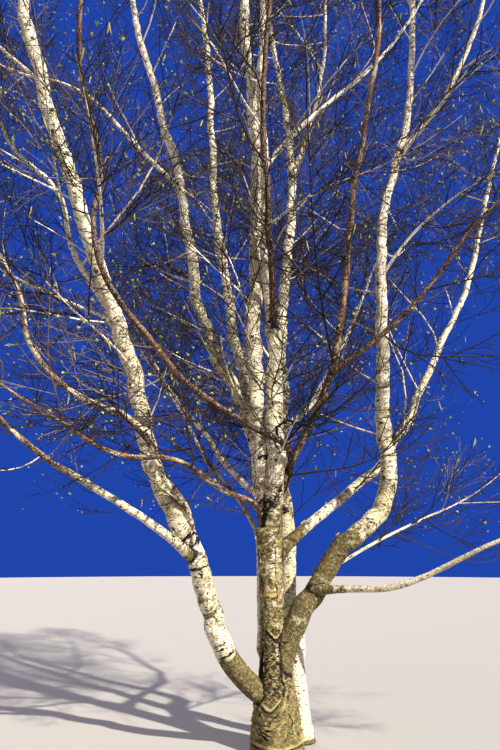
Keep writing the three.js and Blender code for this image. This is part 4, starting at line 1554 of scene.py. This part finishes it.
twig_pieces = {}
for i, (region, found) in enumerate(layers.items()):
    rng = np.random.default_rng(FIRST_TONE_SEED + i)
    tones = np.digitize(rng.uniform(0, 1, len(sprays[region])), TWIG_SHARES)
    pale = np.array([twig.get("pale", False) for twig in sprays[region]])
    source = chains(found, tones, pale)
    inputs = {"Sides": TWIG_SIDES, **twig_paints}
    twig_pieces[region] = grown_by(source, sweep_twigs, inputs, "twigs_of_" + region)
print({region: triangles_of(piece) for region, piece in twig_pieces.items()})

# %% [markdown]
# ## Buds, first leaves and catkins
# In early spring most twigs still show only pointed buds. Some have opened into bunches of
# two or three small yellow-green leaves, and the long catkins hang. Each is a small closed
# mesh of a few faces in its own outline. One node tree sets such a shape on many points,
# turned to each point's own way with a seeded tilt and size, and makes all four kinds.

# %% Small shapes
# Turn and size of each leaf of a bunch
BUNCH = ((20, 1.0), (140, 0.84), (265, 0.68))


def spindle(length, corners, share):
    """Points and outward faces of a solid with a tip at each end and a ring between"""
    ring = [(x, y, length * share) for x, y in corners]
    count = len(ring)
    faces = [(0, 2 + (i + 1) % count, 2 + i) for i in range(count)]
    faces += [(1, 2 + i, 2 + (i + 1) % count) for i in range(count)]
    return np.array([(0, 0, 0), (0, 0, length), *ring]), faces


def bud_shape(length=0.013, width=0.0055, widest=0.35, corners=(0, 2.1, 4.2)):
    half = width / 2
    return spindle(length, [(half * math.cos(a), half * math.sin(a)) for a in corners], widest)


def leaf_bunch(length=0.026, width=0.016, thick=0.0012, bend=0.004, widest=0.42, lean=34):
    """A few pointed leaves that open from one bud"""
    corners = [(width / 2, bend), (0, thick / 2), (-width / 2, bend), (0, -thick / 2)]
    points, faces = spindle(length, corners, widest)
    leaves = []
    for turn, size in BUNCH:
        opened = Euler((math.radians(lean), 0, math.radians(turn))).to_matrix()
        leaves.append(([tuple(opened @ Vector(point * size)) for point in points], faces))
    return joined(leaves)


def catkin_shape(length=0.08, width=0.01, sides=5, bend=0.02, bands=(0.12, 0.45, 0.8), taper=0.9):
    """A drooping rope of flowers, thickest in its middle band"""
    points = [(0, 0, 0)]
    for share in bands:
        radius, sway = width / 2 * (1 - taper * abs(share - bands[1])), bend * share ** 2
        for a in (2 * math.pi * i / sides for i in range(sides)):
            points.append((radius * math.cos(a) + sway, radius * math.sin(a), share * length))
    points.append((bend, 0, length))
    around = [(i, (i + 1) % sides) for i in range(sides)]
    faces = [(0, 1 + b, 1 + a) for a, b in around]
    for low in range(1, 1 + (len(bands) - 1) * sides, sides):
        faces += [(low + a, low + b, low + sides + b, low + sides + a) for a, b in around]
    tip, last = len(points) - 1, len(points) - 1 - sides
    return points, faces + [(tip, last + a, last + b) for a, b in around]


SHAPES = {"bud": bud_shape, "leaf_green": leaf_bunch, "leaf_yellow": leaf_bunch, "catkin": catkin_shape}
shapes = {kind: placed(kind, mesh_from(kind, *make())) for kind, make in SHAPES.items()}
print({kind: triangles_of(shape) for kind, shape in shapes.items()})


# %% Build the spray tree
def random_value(tree, kind, inputs):
    return add_node(tree, "FunctionNodeRandomValue", inputs, data_type=kind)


def spray_tree():
    """Sets one small shape on every point, turned to the point's own way"""
    kinds = dict(Shape="Object", Paint="Material", Seed="Int", Tilt="Vector", Least="Float", Most="Float")
    tree, given, result = start_tree("set sprays", kinds)
    points = add_node(tree, "GeometryNodeMeshToPoints", {"Mesh": given["Geometry"]})
    shape = add_node(tree, "GeometryNodeObjectInfo", {"Object": given["Shape"]})
    ahead = {"Vector": named(tree, "ahead", "FLOAT_VECTOR")}
    turn = add_node(tree, "FunctionNodeAlignRotationToVector", ahead, axis="Z")
    flipped = add_node(tree, "ShaderNodeVectorMath", {0: given["Tilt"], "Scale": -1.0}, operation="SCALE")
    tilts = {0: flipped.outputs[0], 1: given["Tilt"], 8: given["Seed"]}
    tilt = random_value(tree, "FLOAT_VECTOR", tilts)
    tilting = add_node(tree, "FunctionNodeEulerToRotation", {0: tilt.outputs[0]})
    turns = {0: turn.outputs[0], 1: tilting.outputs[0]}
    both = add_node(tree, "FunctionNodeRotateRotation", turns, rotation_space="LOCAL")
    size = random_value(tree, "FLOAT", {2: given["Least"], 3: given["Most"], 8: given["Seed"]})
    dealt = add_node(tree, "GeometryNodeInstanceOnPoints", {
        "Points": points.outputs[0], "Instance": shape.outputs["Geometry"],
        "Rotation": both.outputs[0], "Scale": size.outputs[1]})
    real = add_node(tree, "GeometryNodeRealizeInstances", {"Geometry": dealt.outputs[0]})
    paint = {"Geometry": real.outputs[0], "Material": given["Paint"]}
    painted = add_node(tree, "GeometryNodeSetMaterial", paint)
    tree.links.new(painted.outputs[0], result.inputs[0])
    return tree


set_sprays = spray_tree()
print("spray tree", len(set_sprays.nodes), "nodes")

# %% Deal out buds, leaves and catkins
SMALL_COLOURS = {
    "bud": (0.36, 0.34, 0.13), "leaf_green": (0.25, 0.3, 0.06),
    "leaf_yellow": (0.44, 0.46, 0.12), "catkin": (0.27, 0.26, 0.08),
}
SMALL_ROUGHNESS = 0.6
# The share of the finer twigs' tips that bears each kind
SHARES = {"bud": 0.24, "leaf_green": 0.055, "leaf_yellow": 0.038}
LEAVES_FROM = 1.6
CATKIN_SHARE, CATKIN_AT, CATKINS_ON_RULED = 0.03, 0.9, 2
SPRING = dict(Tilt=(0.35, 0.35, math.pi), Least=0.7, Most=1.35)
HANG = dict(Seed=64, Tilt=(0.22, 0.22, math.pi), Least=0.75, Most=1.25)
FIRST_SPRING_SEED = 60


def tips_of(layer, share=1.0):
    """A point at a share of the last step of each twig, and the way ahead there"""
    last, before = layer["points"][:, -1], layer["points"][:, -2]
    return before + (last - before) * share, unit(last - before)


def set_on(points, ahead, kind, values):
    """One piece of all the small shapes of a kind, set on points that each keep their way"""
    mesh = mesh_from("places", points)
    add_values(mesh, "ahead", "FLOAT_VECTOR", ahead)
    paint = plain_material(kind, SMALL_COLOURS[kind], SMALL_ROUGHNESS)
    inputs = dict(Shape=shapes[kind], Paint=paint, **values)
    return grown_by(placed("places", mesh), set_sprays, inputs, kind + "s")


rng = np.random.default_rng(55)
found = [tips_of(layer) for region in layers.values() for layer in region[1:]]
tips, ways = (np.vstack(arrays) for arrays in zip(*found))
draws = rng.uniform(0, 1, len(tips))
draws[tips[:, 2] < LEAVES_FROM] = 1
small_pieces, start = {}, 0
for i, (kind, share) in enumerate(SHARES.items()):
    chosen = (draws >= start) & (draws < start + share)
    start += share
    dealt = dict(Seed=FIRST_SPRING_SEED + i, **SPRING)
    small_pieces[kind] = set_on(tips[chosen], ways[chosen], kind, dealt)

hung = np.vstack([tips_of(region[1], CATKIN_AT)[0] for region in layers.values()])
hung = hung[rng.uniform(0, 1, len(hung)) < CATKIN_SHARE]
ruled = [twig["points"][-1] for mass in masses.values() for twig in mass["twigs"] if twig["hangs"]]
hung = np.vstack([hung, np.repeat(ruled, CATKINS_ON_RULED, axis=0)])
small_pieces["catkin"] = set_on(hung, np.tile((0, 0, -1.0), (len(hung), 1)), "catkin", HANG)
for shape in shapes.values():
    bpy.data.objects.remove(shape)
print({kind: triangles_of(piece) for kind, piece in small_pieces.items()})

# %% [markdown]
# ## Bark materials
# White birch bark is cream paper with short dark dashes across it, smudges, and a
# yellow-green bloom on old stems. The old foot is gray-brown with dark cracks and pale
# crests, which carry a painted highlight, and the young boughs are red-brown with pale
# dashes. The scars' dark colour also paints shade into creases, hollows and shaded sides.
# One builder makes all three finishes. The dashes are stretched cells on the straightened
# place of each point, so they always lie across the limb.

# %% Patterns on the straightened limb
# Each pattern's noise: how fine across and along, detail, roughness, and its ramp's bounds
PATTERNS = {
    "chalk": (9, 5, 3, 0.6, None),
    "bloom": (4, 1.8, 4, 0.6, (0.42, 0.62, 0, 0.8)),
    "patches": (8, 19, 5, 0.6, (0.5, 0.64)),
    "speckle": (52, 84, 5, 0.8, (0.49, 0.58)),
    "tan": (5, 2, 4, 0.6, (0.45, 0.62)),
    "shade": (7, 3.1, 4, 0.6, (0.46, 0.58)),
    "streaks": (44, 66, 6, 0.8, None),
    "rust": (8, 13, 4, 0.6, (0.54, 0.68, 0, 0.6)),
    "white edge": (12, 7, 3, 0.6, (0.4, 0.6, 0, 0.36)),
    "age edge": (9, 12, 5, 0.7, (0.35, 0.65, 0, 0.4)),
    "scar edge": (40, 70, 4, 0.6, (0.3, 0.7, 0, 0.5)),
}
# Width and height of the dashes, and the share of the cells that has one
DASHES = {"fine": (0.022, 0.005, 0.4), "long": (0.055, 0.012, 0.24), "blots": (0.05, 0.042, 0.12)}
DASH_RIM = (0.46, 0.3)
DASH_SOFT = 0.04


def value_of(tree, name, output="Fac"):
    return add_node(tree, "ShaderNodeAttribute", attribute_name=name).outputs[output]


def stretched(tree, across, ahead):
    """The straightened place, scaled across and along the limb"""
    inputs = {0: value_of(tree, "straight", "Vector"), 1: (across, across, ahead)}
    return add_node(tree, "ShaderNodeVectorMath", inputs, operation="MULTIPLY").outputs[0]


def ramp(tree, value, low, high, first=0.0, last=1.0):
    """A smooth step from a first value to a last one between two bounds"""
    inputs = {"Value": value, "From Min": low, "From Max": high, "To Min": first, "To Max": last}
    return add_node(tree, "ShaderNodeMapRange", inputs, interpolation_type="SMOOTHSTEP").outputs[0]


def calc(tree, operation, a, b):
    """Arithmetic that stays between 0 and 1"""
    return add_node(tree, "ShaderNodeMath", {0: a, 1: b}, operation=operation, use_clamp=True).outputs[0]


def times(tree, a, b):
    return calc(tree, "MULTIPLY", a, b)


def pattern(tree, name):
    """The noise of a named pattern, through its ramp where it has one"""
    across, ahead, detail, rough, bounds = PATTERNS[name]
    inputs = {"Vector": stretched(tree, across, ahead), "Detail": detail, "Roughness": rough, "Scale": 1.0}
    made = add_node(tree, "ShaderNodeTexNoise", inputs).outputs["Fac"]
    return ramp(tree, made, *bounds) if bounds else made


def dashes(tree, kind):
    """Short dark marks across the limb"""
    width, height, share = DASHES[kind]
    inputs = {"Vector": stretched(tree, 1 / width, 1 / height), "Scale": 1.0}
    cells = add_node(tree, "ShaderNodeTexVoronoi", inputs)
    parts = add_node(tree, "ShaderNodeSeparateColor", {"Color": cells.outputs["Color"]})
    kept = ramp(tree, parts.outputs[0], 1 - share, 1 - share + DASH_SOFT)
    return times(tree, ramp(tree, cells.outputs["Distance"], *DASH_RIM), kept)


def coated(tree, colour, *coats):
    """A colour under coats of others, each with how much of it shows"""
    for above, factor in coats:
        pair = [c if isinstance(c, bpy.types.NodeSocket) else (*c, 1) for c in (colour, above)]
        inputs = {0: factor, 6: pair[0], 7: pair[1]}
        colour = add_node(tree, "ShaderNodeMix", inputs, data_type="RGBA").outputs[2]
    return colour


print("patterns", len(PATTERNS), "kinds of dashes", len(DASHES))

# %% Build the bark
CREAM, CHALK = (0.86, 0.74, 0.54), (0.84, 0.79, 0.64)
BLOOM, SMUDGE = (0.47, 0.42, 0.175), (0.12, 0.097, 0.044)
# The dark colour of cracks and scars is also the colour of the painted shade
DASH, CRACK_AND_SHADE = (0.03, 0.022, 0.016), (0.014, 0.01, 0.008)
RED_BROWN, TAN_BARK, DARK_YOUNG = (0.085, 0.036, 0.02), (0.36, 0.19, 0.095), (0.04, 0.024, 0.018)
OLD_EVEN, OLD_GRAY, OLD_PALE = (0.112, 0.093, 0.042), (0.075, 0.062, 0.028), (0.44, 0.37, 0.165)
RUST = (0.33, 0.15, 0.08)
CURL_COLOUR = (0.42, 0.33, 0.21)
# How much a zone counts beside its ragged edge, and the ramp from one bark to the next
EDGES = {"white": (0.64, 0.33, 0.6), "age": (0.78, 0.54, 0.78), "scar": (0.9, 0.53, 0.85)}
# How mottling fades the patches and the speckle, and whiteness the tan
FADES = {"patches": (0, 1, 0.25, 0.55), "speckle": (0, 1, 0.15, 0.85), "tan": (0.02, 0.3, 0.2, 1)}
PALE_STREAKS, CRACK_STREAKS = (0.49, 0.62), (0.47, 0.38)
# How dark the marks are, how pale the young dashes are, and how strong the painted highlight on the crests
# is
DARK_DASHES, PALE_DASHES, CREST_HIGHLIGHT = 0.93, 0.6, 0.85
YOUNG_ROUGH, OLD_ROUGH, SHINE = 0.6, 0.9, 0.3
MARK_BUMP, STREAK_BUMP, BUMP_STRENGTH, BUMP_DEPTH = 0.5, 0.6, 0.7, 0.005


def faded(tree, name, by):
    """A pattern made weaker by another value"""
    return times(tree, pattern(tree, name), ramp(tree, by, *FADES[name]))


def zone_of(tree, name):
    """Where a kind of bark lies, with a ragged edge"""
    part, low, high = EDGES[name]
    found = calc(tree, "ADD", times(tree, value_of(tree, name), part), pattern(tree, name + " edge"))
    return ramp(tree, found, low, high)


def paper_bark(tree, marks, mottle):
    """Cream paper with a yellow-green bloom, dark speckle, smudges and marks"""
    return coated(
        tree, CREAM, (CHALK, pattern(tree, "chalk")),
        (BLOOM, times(tree, pattern(tree, "bloom"), mottle)),
        (SMUDGE, faded(tree, "patches", mottle)), (SMUDGE, faded(tree, "speckle", mottle)),
        (DASH, times(tree, marks, DARK_DASHES)))


def young_bark(tree, fine, white):
    """Red-brown skin, tan where the light has bleached it, with pale dashes"""
    return coated(
        tree, RED_BROWN, (TAN_BARK, faded(tree, "tan", white)),
        (DARK_YOUNG, pattern(tree, "shade")), (CREAM, times(tree, fine, PALE_DASHES)))


def old_bark(tree, streaks, crest, mottle):
    """Gray-brown bark, pale and rusty in places and dark in its cracks, with a painted highlight on its
    crests
    """
    rough = coated(
        tree, OLD_GRAY, (OLD_PALE, ramp(tree, streaks, *PALE_STREAKS)),
        (RUST, pattern(tree, "rust")), (CRACK_AND_SHADE, ramp(tree, streaks, *CRACK_STREAKS)))
    return coated(tree, OLD_EVEN, (rough, mottle), (OLD_PALE, times(tree, crest, CREST_HIGHLIGHT)))


def bark_material(name):
    """Young, white and old bark in one material, laid out by each point's own values"""
    material = bpy.data.materials.new(name)
    material.use_nodes = True
    tree = material.node_tree
    shader = tree.nodes["Principled BSDF"]
    white, crest, mottle = (value_of(tree, key) for key in ("white", "crest", "mottle"))
    fine, long, blots = (dashes(tree, kind) for kind in DASHES)
    marks = calc(tree, "MAXIMUM", calc(tree, "MAXIMUM", fine, long), blots)
    streaks, aged = pattern(tree, "streaks"), zone_of(tree, "age")
    colour = coated(
        tree, young_bark(tree, fine, white), (paper_bark(tree, marks, mottle), zone_of(tree, "white")),
        # Dark scars, and painted shade in creases, hollows, under ridges and on the shaded side of the
        # trunk and forks
        (old_bark(tree, streaks, crest, mottle), aged), (CRACK_AND_SHADE, zone_of(tree, "scar")))
    height = calc(tree, "ADD", times(tree, marks, MARK_BUMP), times(tree, streaks, STREAK_BUMP))
    bump = {"Height": height, "Strength": BUMP_STRENGTH, "Distance": BUMP_DEPTH}
    found = {
        "Base Color": colour, "Roughness": ramp(tree, aged, 0, 1, YOUNG_ROUGH, OLD_ROUGH),
        "Normal": add_node(tree, "ShaderNodeBump", bump).outputs[0]}
    for key, socket in found.items():
        tree.links.new(socket, shader.inputs[key])
    shader.inputs["Specular IOR Level"].default_value = SHINE
    return material


def slot_of(name):
    """The bark material that a limb takes"""
    return "trunk_bark" if name == "trunk" else "young_bark" if name in YOUNG else "white_bark"


barks = {slot: bark_material(slot) for slot in ("trunk_bark", "white_bark", "young_bark")}
for name, piece in bark_pieces.items():
    piece.data.materials.append(barks[slot_of(name)])
bark_curls.data.materials.append(plain_material("bark_curl", CURL_COLOUR, 0.7))
print("bark materials", len(barks), "with", len(barks["white_bark"].node_tree.nodes), "nodes each")

# %% [markdown]
# ## Floor, light and air
# The studio is a pale floor and a plain blue sky. A sharp sun from the front right gives
# the stems a lit side and a shaded side, as in the picture. A broad weak light from the
# front left and another from behind stand in for what the grass and the sky throw back. A
# view look with more contrast gives the crisp tones of a picture taken in clear air.

# %% Set the studio
FLOOR_COLOUR = (0.37, 0.357, 0.33)
SKY_COLOUR = (0.02, 0.07, 0.37)
LIGHTS = {
    "sun": dict(energy=7.0, angle=1.2, colour=(1, 0.94, 0.83), way=(-0.62, 0.62, -0.62)),
    "fill": dict(energy=1.35, angle=120, colour=(1, 0.86, 0.54), way=(0.5, 0.75, -0.4)),
    "back": dict(energy=1.5, angle=60, colour=(1, 0.87, 0.62), way=(0.35, -0.8, -0.5)),
}


def make_floor(radius=45, sides=96, level=-0.002, roughness=0.9):
    """A round pale floor just under the tree's foot"""
    turn = 2 * math.pi * np.arange(sides) / sides
    rim = np.stack([radius * np.cos(turn), radius * np.sin(turn), np.full(sides, level)], 1)
    mesh = mesh_from("floor", rim, [tuple(range(sides))])
    mesh.materials.append(plain_material("floor", FLOOR_COLOUR, roughness))
    placed("floor", mesh)


def make_light(name, energy, angle, colour, way):
    """A light that shines along a way from far off. A wide angle makes its shadows soft."""
    light = placed(name, bpy.data.lights.new(name, "SUN"))
    light.data.energy = energy
    light.data.angle = math.radians(angle)
    light.data.color = colour
    light.rotation_euler = Vector(way).to_track_quat("-Z", "Y").to_euler()


world = bpy.data.worlds.new("sky")
world.use_nodes = True
sky = world.node_tree.nodes["Background"]
sky.inputs["Color"].default_value = (*SKY_COLOUR, 1)
sky.inputs["Strength"].default_value = 1.0
scene = bpy.context.scene
scene.world = world
scene.view_settings.view_transform = "Standard"
scene.view_settings.look = "Medium High Contrast"
make_floor()
for name, settings in LIGHTS.items():
    make_light(name, **settings)
print("lights", len(LIGHTS))

# %% [markdown]
# ## Dressing the tree
# Each piece rides on the tree's one body and stands for its solids.

# %% Dress the tree
def dress(piece, nodes):
    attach(piece, "root")
    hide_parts(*nodes)


for name, piece in bark_pieces.items():
    dress(piece, [name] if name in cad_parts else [])
for region, piece in twig_pieces.items():
    dress(piece, [name for name in masses if region_of(name) == region])
for piece in small_pieces.values():
    dress(piece, list(masses))
dress(bark_curls, list(CURLS))
print("pieces", len(bark_pieces) + len(twig_pieces) + len(small_pieces) + 1)
